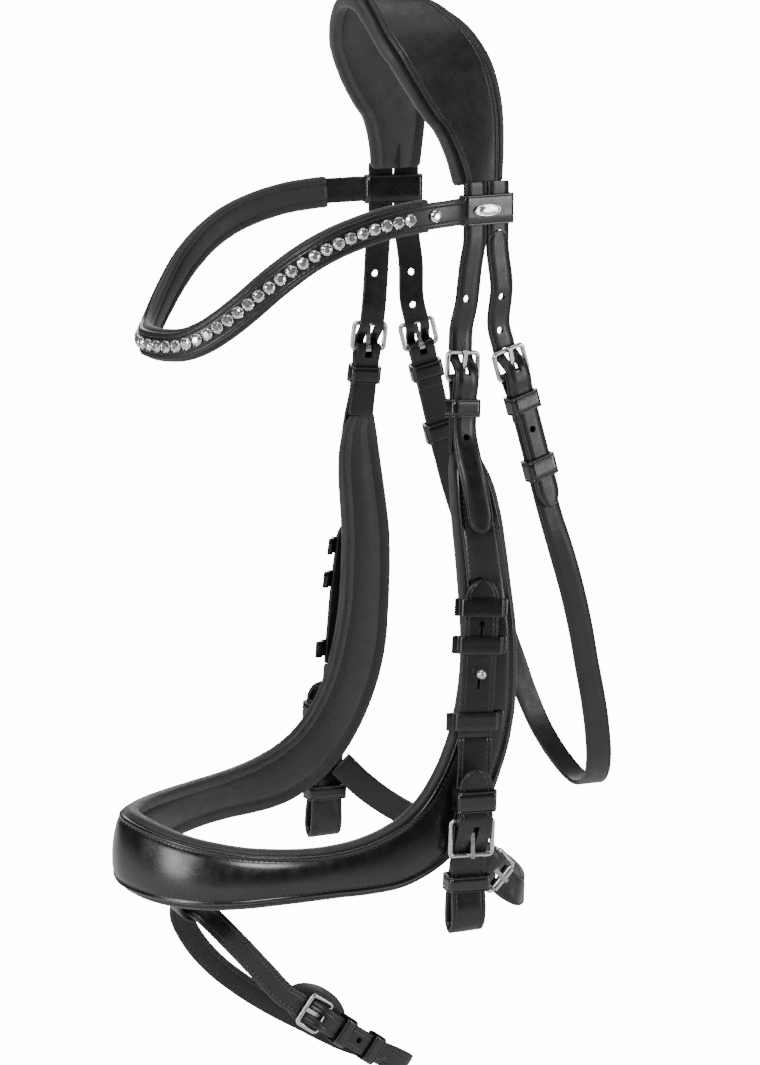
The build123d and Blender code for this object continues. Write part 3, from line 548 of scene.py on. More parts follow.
class Graph:
    """A node material under construction."""

    def __init__(self, name: str) -> None:
        """Starts an empty material of that name.

        Args:
            name: the material's name.
        """
        self.material = bpy.data.materials.new(name)
        self.material.use_nodes = True
        self.tree = self.material.node_tree
        self.shader = self.tree.nodes["Principled BSDF"]
        self.place = self.add("ShaderNodeTexCoord").outputs["Object"]

    def add(self, kind: str, links: dict | None = None, **values: object) -> bpy.types.Node:
        """Adds a node.

        Args:
            kind: type of the node.
            links: input name or number to the socket that feeds it.
            values: input names, underscores for spaces, and their values.

        Returns:
            The node.
        """
        node = self.tree.nodes.new(kind)
        for name, value in values.items():
            key = name.replace("_", " ")
            if key in node.inputs:
                node.inputs[key].default_value = value
            else:
                setattr(node, name, value)
        for key, socket in (links or {}).items():
            self.tree.links.new(socket, node.inputs[key])
        return node

    def noise(self, scale: float, detail: float = 3.0, rough: float = 0.55) -> bpy.types.NodeSocket:
        """Noise over the object's own coordinates; scale is in cells per metre."""
        return self.add("ShaderNodeTexNoise", {"Vector": self.place}, Scale=scale, Detail=detail,
                        Roughness=rough).outputs["Fac"]

    def cells(self, scale: float) -> bpy.types.NodeSocket:
        """Distance from the cell centres of a pebbled surface."""
        return self.add("ShaderNodeTexVoronoi", {"Vector": self.place}, Scale=scale).outputs["Distance"]

    def span(self, socket: bpy.types.NodeSocket, low: float, high: float,
             start: float = 0.3, end: float = 0.7) -> bpy.types.NodeSocket:
        """A value stretched from one range to another.

        Args:
            socket: the value.
            low: result at start.
            high: result at end.
            start: value that gives low.
            end: value that gives high.

        Returns:
            The stretched value, held within its range.
        """
        node = self.add("ShaderNodeMapRange", {"Value": socket})
        node.inputs["From Min"].default_value = start
        node.inputs["From Max"].default_value = end
        node.inputs["To Min"].default_value = low
        node.inputs["To Max"].default_value = high
        return node.outputs["Result"]

    def blend(self, fac: bpy.types.NodeSocket, a: tuple, b: tuple) -> bpy.types.NodeSocket:
        """Colour between two others.

        Args:
            fac: 0 for the first colour, 1 for the second.
            a: first colour.
            b: second colour.

        Returns:
            The colour.
        """
        ramp = self.add("ShaderNodeValToRGB", {"Fac": fac})
        ramp.color_ramp.elements[0].color = (*a, 1)
        ramp.color_ramp.elements[1].color = (*b, 1)
        return ramp.outputs["Color"]

    def bump(self, layers: list[tuple[bpy.types.NodeSocket, float, float]]) -> None:
        """Stacks bumps on the shader's normal.

        Args:
            layers: (height, strength, distance in metres) of each.
        """
        normal = None
        for height, strength, distance in layers:
            links = {"Height": height}
            if normal is not None:
                links["Normal"] = normal
            normal = self.add("ShaderNodeBump", links, Strength=strength, Distance=distance).outputs["Normal"]
        self.tree.links.new(normal, self.shader.inputs["Normal"])

    def feed(self, name: str, socket: bpy.types.NodeSocket) -> None:
        """Links a socket to the shader."""
        self.tree.links.new(socket, self.shader.inputs[name])

    def fix(self, **values: object) -> None:
        """Sets values that are the same all over the surface on the shader itself."""
        for name, value in values.items():
            self.shader.inputs[name.replace("_", " ")].default_value = value


@dataclass(frozen=True)
class Leather:
    """Dyed leather: fine grain, soft creases, high edges paler from wear and dust and a painted highlight."""

    name: str
    dark: tuple[float, float, float]
    light: tuple[float, float, float]
    rough: float
    grain: float = 1500.0
    depth: float = 0.00006
    creases: float = 0.00025
    sheen: float = 0.0
    coat: float = 0.0

    def build(self) -> bpy.types.Material:
        """Colour drifts with broad noise, edges are paler by pointiness, grain is cells.

        Returns:
            The material.
        """
        g = Graph(self.name)
        drift = g.noise(22.0, 4.0)
        tone = g.blend(g.span(drift, 0.0, 1.0), self.dark, self.light)
        # Paler high edges and crease ridges by pointiness: partly edge wear, partly a painted highlight.
        edge = g.add("ShaderNodeNewGeometry").outputs["Pointiness"]
        wear_and_highlight = g.span(edge, 0.0, 0.55, 0.52, 0.6)
        mix = g.add("ShaderNodeMix", data_type="RGBA")
        g.tree.links.new(wear_and_highlight, mix.inputs[MIX_FACTOR])
        g.tree.links.new(tone, mix.inputs[MIX_A])
        mix.inputs[MIX_B].default_value = (*[c * 2.5 + 0.012 for c in self.light], 1)
        g.feed("Base Color", mix.outputs[MIX_RESULT])
        g.feed("Roughness", g.span(g.noise(140.0, 5.0), self.rough - 0.07, self.rough + 0.09))
        g.bump([(g.cells(self.grain), 0.55, self.depth),
                (g.noise(self.grain * 0.4, 6.0, 0.7), 0.5, self.depth * 1.5),
                (g.noise(45.0, 3.0), 0.45, self.creases)])
        g.fix(Sheen_Weight=self.sheen, Sheen_Roughness=0.5, Coat_Weight=self.coat, Coat_Roughness=0.22)
        g.shader.inputs["Specular IOR Level"].default_value = 0.5
        return g.material


@dataclass(frozen=True)
class Metal:
    """Cast and tumbled metal: fine satin scratches and faint dull patches."""

    name: str
    color: tuple[float, float, float]
    rough: float
    scratches: float = 0.00003

    def build(self) -> bpy.types.Material:
        """Roughness and colour drift with noise; scratches are stretched fine noise.

        Returns:
            The material.
        """
        g = Graph(self.name)
        dull = g.span(g.noise(160.0, 5.0), 0.0, 1.0)
        g.feed("Base Color", g.blend(dull, self.color, tuple(c * 0.8 for c in self.color)))
        g.feed("Roughness", g.span(g.noise(420.0, 4.0), self.rough - 0.06, self.rough + 0.1))
        stretch = g.add("ShaderNodeMapping", {"Vector": g.place})
        stretch.inputs["Scale"].default_value = (1.0, 0.25, 2.0)
        fine = g.add("ShaderNodeTexNoise", {"Vector": stretch.outputs["Vector"]}, Scale=2600.0, Detail=4.0)
        g.bump([(fine.outputs["Fac"], 0.35, self.scratches), (g.noise(300.0), 0.3, 0.00006)])
        g.fix(Metallic=1.0)
        return g.material


@dataclass(frozen=True)
class Stone:
    """Foil-backed cut stone: bright facets with a faint tint."""

    name: str
    color: tuple[float, float, float]

    def build(self) -> bpy.types.Material:
        """Nearly mirror facets whose brightness drifts a little from stone to stone.

        Returns:
            The material.
        """
        g = Graph(self.name)
        drift = g.span(g.noise(480.0, 1.0), 0.0, 1.0, 0.35, 0.65)
        g.feed("Base Color", g.blend(drift, tuple(c * 0.72 for c in self.color), self.color))
        g.feed("Roughness", g.span(g.noise(900.0), 0.05, 0.14))
        g.fix(Metallic=0.92, Coat_Weight=1.0, Coat_Roughness=0.03)
        g.shader.inputs["Coat IOR"].default_value = 1.6
        return g.material


@dataclass(frozen=True)
class Waxed:
    """Waxed thread: twisted strands, slightly paler than the leather."""

    name: str
    color: tuple[float, float, float]

    def build(self) -> bpy.types.Material:
        """A fine twist of dark and light bands with a soft wax sheen.

        Returns:
            The material.
        """
        g = Graph(self.name)
        band = g.add("ShaderNodeTexWave", {"Vector": g.place}, Scale=900.0, Distortion=2.0)
        g.feed("Base Color", g.blend(band.outputs["Fac"], self.color, tuple(c * 2.4 for c in self.color)))
        g.bump([(band.outputs["Fac"], 0.6, 0.00008)])
        g.fix(Roughness=0.45, Sheen_Weight=0.2)
        return g.material


class Finish(Enum):
    """Finishes by their slot in the record, and the material each one gets."""

    LEATHER = ("black_leather", Leather("bridle_leather", (0.0045, 0.0045, 0.005),
                                        (0.009, 0.009, 0.0095), 0.33, coat=0.12))
    GLOSS = ("black_leather", Leather("polished_leather", (0.0035, 0.0035, 0.004),
                                      (0.007, 0.007, 0.0075), 0.24, grain=1900.0, depth=0.00004, coat=0.35))
    SINGLE = ("black_leather", Leather("strap_leather", (0.007, 0.007, 0.0075),
                                       (0.014, 0.014, 0.0145), 0.4))
    LINING = ("lining_leather", Leather("lining_leather", (0.0075, 0.0075, 0.008),
                                        (0.015, 0.015, 0.0155), 0.56, grain=1100.0, depth=0.00009,
                                        creases=0.0006, sheen=0.25))
    THREAD = ("black_leather", Waxed("waxed_thread", (0.006, 0.006, 0.0065)))
    STEEL = ("steel", Metal("satin_steel", (0.66, 0.66, 0.68), 0.27))
    SETTING = ("setting", Metal("polished_setting", (0.82, 0.82, 0.84), 0.14, 0.00001))
    STONE = ("crystal", Stone("cut_stone", (0.93, 0.95, 0.98)))

    @property
    def slot(self) -> str:
        """The record's material slot."""
        return self.value[0]


MATERIALS: dict[Finish, bpy.types.Material] = {}


def material(finish: Finish) -> bpy.types.Material:
    """The finish's material, built the first time it is asked for.

    Args:
        finish: the finish.

    Returns:
        Its material, shared by all pieces of that finish.
    """
    if finish not in MATERIALS:
        MATERIALS[finish] = finish.value[1].build()
    return MATERIALS[finish]


# ------------------------------------------------------------------ pieces

def to_mesh(name: str, surface: Surface) -> bpy.types.Mesh:
    """Blender mesh in metres of a surface.

    Args:
        name: the mesh's name.
        surface: its shape in millimetres.

    Returns:
        The mesh.
    """
    mesh = bpy.data.meshes.new(name)
    mesh.from_pydata((surface.verts * MM).tolist(), [], surface.faces)
    mesh.validate()
    mesh.update()
    return mesh


def shade(mesh: bpy.types.Mesh, sharp: float | None) -> None:
    """Smooth shading with sharp edges over an angle, or flat facets for None.

    Args:
        mesh: the mesh.
        sharp: the angle in degrees.
    """
    mesh.polygons.foreach_set("use_smooth", np.full(len(mesh.polygons), sharp is not None))
    if sharp is not None:
        mesh.set_sharp_from_angle(angle=math.radians(sharp))


def cut(obj: bpy.types.Object, cutters: list[Surface]) -> None:
    """Cuts closed shapes out of a piece, one after another, and keeps the result.

    Args:
        obj: the piece, whose mesh is replaced.
        cutters: closed shapes, each free of self-overlap.
    """
    tools = [bpy.data.objects.new("cutter", to_mesh("cutter", shape)) for shape in cutters]
    for tool in tools:
        bpy.context.scene.collection.objects.link(tool)
        mod = obj.modifiers.new("hole", "BOOLEAN")
        mod.operation, mod.solver, mod.object = "DIFFERENCE", "EXACT", tool
    bpy.context.view_layer.update()
    shown = obj.evaluated_get(bpy.context.evaluated_depsgraph_get())
    mesh = bpy.data.meshes.new_from_object(shown)
    obj.modifiers.clear()
    obj.data = mesh
    for tool in tools:
        bpy.data.objects.remove(tool)


def piece(name: str, surface: Surface, finish: Finish, body: str, nodes: tuple = (),
          cutters: list[Surface] | None = None, sharp: float | None = 50.0) -> bpy.types.Object:
    """Makes one finished piece and ties it to the frame.

    Args:
        name: the piece's name.
        surface: its closed surface.
        finish: its finish.
        body: CAD body it moves with.
        nodes: CAD nodes it stands for.
        cutters: shapes cut out of it, such as holes.
        sharp: angle in degrees over which edges stay sharp, None for flat facets.

    Returns:
        The object.
    """
    obj = bpy.data.objects.new(name, to_mesh(name, surface))
    bpy.context.scene.collection.objects.link(obj)
    if cutters:
        cut(obj, cutters)
    obj.data.name = name
    shade(obj.data, sharp)
    obj.data.materials.clear()
    obj.data.materials.append(material(finish))
    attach(obj, body)
    if nodes:
        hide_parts(*nodes)
    LOG.info("%s: %d faces on %s", name, len(obj.data.polygons), body)
    return obj


def dress(nodes: list[str], finish: Finish) -> None:
    """Gives CAD nodes that keep their shape a finish of their own.

    Args:
        nodes: names of the nodes.
        finish: their finish.
    """
    for name in nodes:
        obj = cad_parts[name]
        obj.data.materials.clear()
        obj.data.materials.append(material(finish))
        LOG.info("%s: kept from the frame", name)


def rod_cutter(centre: Array, direction: Array, radius: float, length: float, sides: int = 20) -> Surface:
    """Round bar for a punched hole: two rings of a circle about its axis.

    Args:
        centre: middle of the bar.
        direction: its axis.
        radius: its radius.
        length: its length.
        sides: corners of each ring.

    Returns:
        The bar.
    """
    d = unit(np.asarray(direction, float))
    u = unit(np.cross(d, [0.0, 0.0, 1.0]))
    v = np.cross(d, u)
    turn = np.linspace(0, 2 * np.pi, sides, endpoint=False)[:, None]
    ring = (np.cos(turn) * u + np.sin(turn) * v) * radius
    ends = [centre + ring - d * length / 2, centre + ring + d * length / 2]
    n = len(ring)
    faces = [[j, (j + 1) % n, n + (j + 1) % n, n + j] for j in range(n)]
    faces += [list(range(n))[::-1], list(range(n, 2 * n))]
    return Surface(np.vstack(ends), faces).outward()


def block_cutter(fit: Fitting, low: tuple, high: tuple) -> Surface:
    """Box between two corners given in a fitting's frame.

    Args:
        fit: the fitting.
        low: the corner with the smaller x, y and z.
        high: the corner with the larger ones.

    Returns:
        The box.
    """
    x, y, z = (np.array([low[i], high[i]]) for i in range(3))
    corners = np.array([(a, b, c) for a in x for b in y for c in z])
    faces = [[0, 1, 3, 2], [4, 6, 7, 5], [0, 4, 5, 1], [2, 3, 7, 6], [0, 2, 6, 4], [1, 5, 7, 3]]
    return Surface(fit.place(corners), faces).outward()


def ring_slot(fit: Fitting) -> Surface:
    """Cutter of the slot in a chape that a tongue's ring turns in."""
    return block_cutter(fit, (-6, -2.2, -5), (6, 2.2, 5.2))


def tongue_slot(fit: Fitting, pitch: float, half: float = 1.9, over: float = 1.2) -> Surface:
    """Cutter of the slot in a strap that a tongue passes through.

    Args:
        fit: the buckle.
        pitch: distance between its two bars.
        half: half the slot's width.
        over: how far it runs past the free bar's middle.

    Returns:
        The cutter.
    """
    return block_cutter(fit, (-8, -half, 2.5), (7, half, pitch + over))


def punched(fit: Fitting, x: float, z: float, depth: float, radius: float) -> Surface:
    """Cutter of a round hole through a strap, at x and z in a fitting's frame."""
    return rod_cutter(fit.place((x, 0, z)), fit.axes[0], radius, depth)


def mirrored(surface: Surface, side: Side) -> Surface:
    """A left surface as it is, or its reflection turned outwards again.

    Args:
        surface: a surface of the left side.
        side: the side wanted.

    Returns:
        The surface for that side.
    """
    if side is Side.LEFT:
        return surface
    return Surface(surface.verts * np.array([-1.0, 1.0, 1.0]), [f[::-1] for f in surface.faces])


def both_halves(rows: list) -> list:
    """Rows of a whole piece from those of its left half, ending on the centre plane."""
    other = [[-r[0], r[1], r[2], -r[3], *r[4:]] for r in reversed(rows[:-1])]
    return [list(r) for r in rows] + other


# ------------------------------------------------------------------ shared sizes

@dataclass(frozen=True)
class Sizes:
    """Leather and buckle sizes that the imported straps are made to."""

    strap: float = 2.5
    cover: float = 2.6
    crown_pad: float = 8.0
    nose_pad: float = 8.0
    brow_pad: float = 5.0
    lay: float = 0.25
    billet: float = 14.5
    billet_pitch: float = 15.1
    bit_strap: float = 20.0
    bit_t: float = 2.8
    brow: float = 14.5
    brow_pad_w: float = 18.0
    throat: float = 15.0
    jaw: float = 16.0
    flash: float = 13.5
    hole: float = 2.0
    hole_pitch: float = 19.0
    tongue_z: float = 6.5
    wire: float = 1.4
    chape: float = 1.8
    chape_gap: float = 0.15
    bar: float = 15.0
    bit_bar: float = 20.0
    keeper: float = 1.8
    keeper_gap: float = 0.35


SIZE = Sizes()
STITCH = Thread()
SEAM_INSET = 2.75
STITCH_SINK = 0.15
# Degrees over which an edge is shaded sharp: on punched leather, and on thread.
CUT_EDGE = 42.0
THREAD_EDGE = 80.0
FLAT = Profile(-SIZE.strap / 2, SIZE.strap / 2, marks=CREASE, edge=0.75)
BILLET_FACE = (0.985, 0.17, 0)
CHEEK = Fitting((64.5, 20.8, -200), (-0.1, 0.07, 0.9925), (0.99, 0.1, 0))
THROAT = Fitting((61.6, 53.9, -200), (-0.04, -0.262, 0.964), BILLET_FACE)
LOOP = Fitting((61.9, 36.0, -107), (0, 0, 1), BILLET_FACE)
BIT = Fitting((104.8, 9.0, -439), (0, -0.04, -0.9992), (0.997, -0.06, 0))
JAW = Fitting((86.4, 27.6, -471.2), (-0.163, 0.673, -0.721), (0.985, 0.16, -0.07))
FLASH = Fitting((25.0, -46.5, -572.7), (0.1, -0.8, 0.59), (0.995, 0.09, -0.05))
PIVOT = (60.617, 43.436, -126.0)


def buckled(fit: Fitting, pitch: float, thick: float, above: float, below: float, width: float,
            free_r: float = SIZE.wire, sign: int = 1) -> list:
    """Rows of a strap through a buckle: behind the free bar, over the hinge bar.

    Args:
        fit: the buckle.
        pitch: distance between its bars.
        thick: the strap's thickness.
        above: height over the hinge bar where the rows begin.
        below: height under it, negative, where they end.
        width: the strap's width.
        free_r: radius of the free bar, or of its roller.
        sign: -1 where the strap comes with its inner face outwards.

    Returns:
        Rows of point, face normal and width.
    """
    back = -(free_r + SIZE.lay + thick / 2)
    front = SIZE.wire + SIZE.chape_gap + SIZE.chape + SIZE.lay + thick / 2
    low = SIZE.chape + SIZE.lay * 1.5 + thick / 2
    local = [(back, above), (back, pitch + 4), (back, pitch - 0.5), (front - 0.4, 3.4),
             (front + 0.15, -1.0), (low + 0.4, -7.5)]
    local += [(low, z) for z in (-11, -17) if z > below + 5] + [(low, below)]
    normal = fit.axes[0] * sign
    return [[*fit.place((x, 0, z)), *normal, width] for x, z in local]


def chape(fit: Fitting, width: float, length: float) -> Surface:
    """Leather folded round a buckle's hinge bar, one leg down each face.

    Args:
        fit: the buckle.
        width: width of the leather.
        length: length of each leg below the bar.

    Returns:
        The fold.
    """
    r = SIZE.wire + SIZE.chape_gap + SIZE.chape / 2
    near = SIZE.lay / 2 + SIZE.chape / 2
    turn = np.radians(np.linspace(0, 180, 13))
    arc = np.stack([r * np.cos(turn), r * np.sin(turn)], axis=1)
    leg = filleted([(near, -length), (near, -9), (r, -2), (r, 0)], 4.0)
    outline = np.vstack([leg[:-1], arc, (leg * [-1, 1])[::-1][1:]])
    profile = Profile(-SIZE.chape / 2, SIZE.chape / 2, edge=0.5, marks=CHAPE_CREASE)
    path = fit.band(outline, width, along_y=False)
    return swept(path, profile.along(path))


def loop_band(fit: Fitting, width: float, low: float, high: float, height: float,
              thick: float = SIZE.keeper, at: float = 0.0, gap: float = SIZE.keeper_gap) -> Surface:
    """Closed keeper: a band round a rounded rectangle, creased along both edges.

    Args:
        fit: the fitting it belongs to.
        width: width of the straps inside.
        low: inner end of the straps along x.
        high: outer end of the straps along x.
        height: height of the band.
        thick: its thickness.
        at: its middle, along the fitting's z.
        gap: clearance inside.

    Returns:
        The band.
    """
    x0, x1 = low - gap - thick / 2, high + gap + thick / 2
    y = width / 2 + gap + thick / 2
    corners = [(x1, 0), (x1, y), (x0, y), (x0, -y), (x1, -y), (x1, 0)]
    outline = filleted(corners, 2.0, 1.2)
    moved = replace(fit, origin=tuple(fit.place((0, 0, at))))
    path = moved.band(outline, height)
    path = Path(path.p[:-1], path.t[:-1], path.m[:-1], path.w[:-1], path.width[:-1])
    profile = Profile(-thick / 2, thick / 2, edge=0.45, marks=BAND_CREASE)
    return swept(path, profile.along(path), closed=True)


# ------------------------------------------------------------------ headpiece

@dataclass
class Headpiece:
    """Padded crown over the poll, with the billets that come out of it."""

    edges: list = field(default_factory=lambda: both_halves([
        [56, 19.4, -94, 53.8, 48.5, -94], [53, 17.5, -82, 53.4, 49.8, -82.5],
        [49.5, 14, -69, 52.4, 50.8, -69.5], [46.5, 9, -57, 51.4, 51, -57],
        [44.5, 2, -46, 50.6, 49.4, -46], [41, -5, -34, 48.5, 45.5, -34],
        [35, -11.5, -23, 43.5, 39, -21.5], [27, -17, -12.8, 35, 31, -11.5],
        [18, -19.8, -3.6, 24, 24, -2.4], [9, -21, 2.4, 12, 20.5, 2.8], [0, -21.5, 4, 0, 19.5, 4]]))
    leather_inset: float = 5.0
    channel: float = 6.3
    channel_depth: float = 1.75

    def path(self) -> Path:
        """Middle layer of the crown's padding."""
        return Path.edges(self.edges)

    def build_crown(self) -> None:
        """Rolled padding with a sewn channel inside each edge, and the outer leather."""
        path = self.path()
        half = SIZE.crown_pad / 2
        roll = ((1.6, 0.0), (3.2, 0.0), (4.8, 0.5), (5.8, 1.5), (self.channel, self.channel_depth),
                (6.8, 1.5), (8.4, 0.7), (11, 0.25))
        pad = Profile(-half, half, edge=2.9, marks=((3.6, 0.0), (4.6, 0.5), (6.5, 0.9)), back_marks=roll,
                      back_dome=0.5)
        section = pad.along(path) + creased(path, 0.22)
        obj = piece("crown_lining", swept(path, section), Finish.LINING, "headstall", ("crown_padding",))
        face = half + SIZE.lay + SIZE.cover
        top = Profile(half - 0.2, face, inset=self.leather_inset, edge=0.8, dome=1.0, marks=SEAM)
        slits = [block_cutter(LOOP, (-14, -0.35, 12.5), (9, 0.35, 27))]
        slits.append(mirrored(slits[0], Side.RIGHT))
        piece("crown_cover", swept(path, top.along(path)), Finish.SINGLE, "headstall", ("crown_leather",),
              slits)
        seam = replace(path, width=path.width - 2 * self.leather_inset)
        rows = [STITCH.both(seam, SEAM_INSET, face - STITCH_SINK, 4, 4)]
        inside = replace(path, m=-path.m)
        rows.append(STITCH.both(inside, self.channel, half - self.channel_depth, 10, 10))
        piece("crown_stitching", Surface.joined(rows), Finish.THREAD, "headstall", sharp=THREAD_EDGE)

    def cheek_billet(self) -> Path:
        """Front billet: through the loop and the cheek buckle, over the noseband's cheek.

        Returns:
            The path of the left billet.
        """
        x, y, _ = LOOP.place((0, -SIZE.billet_pitch / 2, 0))
        rows = [[x, y, z, *BILLET_FACE, SIZE.billet] for z in (-92, -106, -116, -122)]
        rows += [[62.5, 26.4, -138, 0.985, 0.15, 0, SIZE.billet],
                 [61.3, 24.6, -158, 0.985, 0.13, 0, SIZE.billet]]
        rows += buckled(CHEEK, SIZE.bar, SIZE.strap, 26, -26, SIZE.billet)
        nose = Noseband()
        rise = SIZE.lay * 2 + SIZE.strap / 2
        rows += [nose.seat(z, 0.0, rise, SIZE.billet) for z in (-246, -254, -262, -271, -282)]
        return Path.strap(rows).rounded(end=10)

    def build_billets(self) -> None:
        """Front billets with creased edges and punched holes, and the rear billets' roots."""
        path = self.cheek_billet()
        holes = [punched(CHEEK, -2.9, SIZE.hole_pitch * k + SIZE.tongue_z, 14, SIZE.hole) for k in (2, 3)]
        holes.append(punched(CHEEK, 3.4, SIZE.tongue_z - SIZE.hole_pitch * 2, 6, SIZE.hole))
        holes.append(tongue_slot(CHEEK, SIZE.bar))
        x, y, z = PIVOT
        root = Path.strap([[x, y, z + up, *BILLET_FACE, SIZE.billet] for up in (34, 16, 0.3)])
        cup = rod_cutter(np.array(PIVOT), np.array([1.0, 0.0, 0.0]), SIZE.billet / 2 + 0.15, 40, 64)
        for side in Side:
            piece(f"cheek_billet_leather_{side.value}", swept(path.on(side), FLAT.along(path)),
                  Finish.LEATHER, "headstall", (f"cheek_billet_{side.value}",),
                  [mirrored(h, side) for h in holes], sharp=CUT_EDGE)
        roots = Surface.joined([swept(root.on(side), FLAT.along(root)) for side in Side])
        piece("billet_roots_leather", roots, Finish.LEATHER, "headstall", ("billet_roots",),
              [mirrored(cup, side) for side in Side], sharp=CUT_EDGE)

    def build(self) -> None:
        """Makes the whole headpiece."""
        self.build_crown()
        self.build_billets()


def creased(path: Path, depth: float) -> Array:
    """Soft wrinkles of a lining, as offsets of its whole section along the normal.

    The offset is a sum of three sine waves along the path, times a slow wave that lets
    the wrinkles swell and fade. It is the same all across the width.

    Args:
        path: stations of the padding.
        depth: height of the largest wrinkles.

    Returns:
        (stations, 1, 2) offsets, to be added to a section.
    """
    s = path.s
    wave = np.sin(s * 0.31 + 1.2) * 0.4 + np.sin(s * 0.53 + 0.4) * 0.35 + np.sin(s * 0.97) * 0.25
    slow = 0.5 + 0.5 * np.sin(s * 0.045 + 0.8)
    out = np.zeros((len(s), 1, 2))
    out[:, 0, 1] = depth * wave * slow
    return out


# ------------------------------------------------------------------ browband

@dataclass
class Browband:
    """Wave-shaped browband with stones, padding behind and a loop at each end."""

    line: list = field(default_factory=lambda: [
        [64.7, 20.3, -107], [66.0, 18.2, -107], [69.6, 8, -107.5], [72, -2, -108], [73.6, -13, -109],
        [74.6, -25, -110.5], [75, -37, -113], [75, -48, -116.2], [74.3, -59, -120.2], [72.8, -69, -125],
        [70.6, -78, -130.6],
        [67.6, -86.4, -137], [64, -94.2, -143.8], [59.6, -101.4, -151], [54, -108.4, -158.3],
        [47.5, -115.2, -165.2], [39.5, -122, -171.5], [29, -129, -176.4], [15, -135.6, -178.4],
        [0, -138.5, -178.6]])
    stone_pitch: float = 7.15
    stones_half: int = 25
    stone_r: float = 3.1
    loop_h: float = 16.5
    loop_t: float = 2.0
    loop_gap: float = 0.5
    badge_long: float = 9.0
    badge_high: float = 3.2
    badge_forward: float = 2.0
    channel: float = 4.3
    channel_depth: float = 1.2

    def path(self) -> Path:
        """Back of the browband's leather along its centre line.

        Returns:
            The path, its normals level.
        """
        rows = both_halves([[*r, 0.0] for r in self.line])
        fine = smooth_rows([r[:3] for r in rows], 1.5)
        t = np.gradient(fine, axis=0)
        flat = np.stack([-t[:, 1], t[:, 0], np.zeros(len(t))], axis=1)
        return Path.facing(fine, unit(flat), np.full(len(fine), SIZE.brow))

    def build_band(self) -> Path:
        """Outer leather with a stitched line inside both edges, over rolled padding.

        Returns:
            The path, for the stones that sit on it.
        """
        path = self.path()
        top = Profile(0.0, SIZE.cover, edge=0.8, dome=0.25, marks=SEAM)
        piece("browband_cover", swept(path, top.along(path)), Finish.LEATHER, "browband",
              ("browband_leather",))
        inner = path.between(23, path.length - 23)
        wide = replace(inner, width=np.full(len(inner.p), SIZE.brow_pad_w))
        roll = ((2.4, 0.0), (3.6, 0.5), (self.channel, self.channel_depth), (4.9, 0.6), (6.4, 0.15))
        pad = Profile(-SIZE.lay - SIZE.brow_pad, 0.1, edge=2.3, marks=((2.6, 0.0), (3.4, 0.1)),
                      back_marks=roll, back_dome=0.3)
        obj = piece("browband_lining", swept(wide, pad.along(wide) + creased(wide, 0.12)), Finish.LINING,
                    "browband", ("browband_padding",))
        rows = [STITCH.both(path, SEAM_INSET, SIZE.cover - STITCH_SINK, 17, 17)]
        behind = replace(wide, m=-wide.m)
        rows.append(STITCH.both(behind, self.channel, SIZE.lay + SIZE.brow_pad - self.channel_depth, 3, 3))
        piece("browband_stitching", Surface.joined(rows), Finish.THREAD, "browband", sharp=THREAD_EDGE)
        return path

    def stone(self) -> Surface:
        """Brilliant cut stone about z: sixteen-sided girdle, eight-sided crown and table.

        Returns:
            The stone, its underside near the origin.
        """
        def ring(count: int, radius: float, height: float, turn: float) -> Array:
            """Corners of a regular polygon at a height, turned by an angle."""
            a = np.linspace(0, 2 * np.pi, count, endpoint=False) + turn
            return np.stack([radius * np.cos(a), radius * np.sin(a), np.full(count, height)], axis=1)

        r = self.stone_r
        step = np.pi / 8
        rings = [ring(16, r * 0.9, 0.2, 0), ring(16, r, 0.75, 0), ring(8, r * 0.8, 1.45, 0),
                 ring(8, r * 0.52, 1.95, step)]
        verts = np.vstack(rings + [[[0, 0, 1.95]], [[0, 0, 0.2]]])
        low, mid, crown, table, top, base = 0, 16, 32, 40, 48, 49
        faces = []
        for j in range(16):
            k = (j + 1) % 16
            faces += [[low + j, low + k, mid + k, mid + j], [low + k, low + j, base]]
        for j in range(8):
            k = (j + 1) % 8
            a, b, c = mid + 2 * j, mid + 2 * j + 1, mid + (2 * j + 2) % 16
            faces += [[a, b, crown + j], [b, c, crown + k], [b, crown + k, crown + j],
                      [crown + j, crown + k, table + j], [crown + k, table + k, table + j],
                      [table + j, table + k, top]]
        return Surface(verts, faces).outward()

    def setting(self) -> Surface:
        """Cup about z: a lathed wall whose rim rises into six claws.

        Returns:
            The cup, its base on the origin.
        """
        prof = np.array([[0.0, 0.0], [3.3, 0.0], [3.5, 0.35], [3.5, 1.0],
                         [3.3, 1.35], [3.12, 1.3], [3.1, 0.5], [0.0, 0.45]])
        sides = 36
        turn = np.linspace(0, 2 * np.pi, sides, endpoint=False)
        claw = np.clip(np.cos(turn * 6), 0, 1) ** 3
        r = np.broadcast_to(prof[None, :, 0], (sides, len(prof))).copy()
        z = np.broadcast_to(prof[None, :, 1], (sides, len(prof))).copy()
        rim = np.array([0, 0, 0, 0, 1.0, 1.0, 0, 0])
        z += rim * claw[:, None] * 0.55
        r -= rim * claw[:, None] * 0.35
        grid = np.stack([r * np.cos(turn)[:, None], r * np.sin(turn)[:, None], z], axis=-1)[:, 1:-1]
        k = grid.shape[1]
        verts = np.vstack([grid.reshape(-1, 3), [[0, 0, 0]], [[0, 0, 0.45]]])
        n = len(verts)
        faces = []
        for i in range(sides):
            nxt = (i + 1) % sides
            faces += [[i * k + j, i * k + j + 1, nxt * k + j + 1, nxt * k + j] for j in range(k - 1)]
            faces += [[i * k, nxt * k, n - 2], [nxt * k + k - 1, i * k + k - 1, n - 1]]
        return Surface(verts, faces).outward()

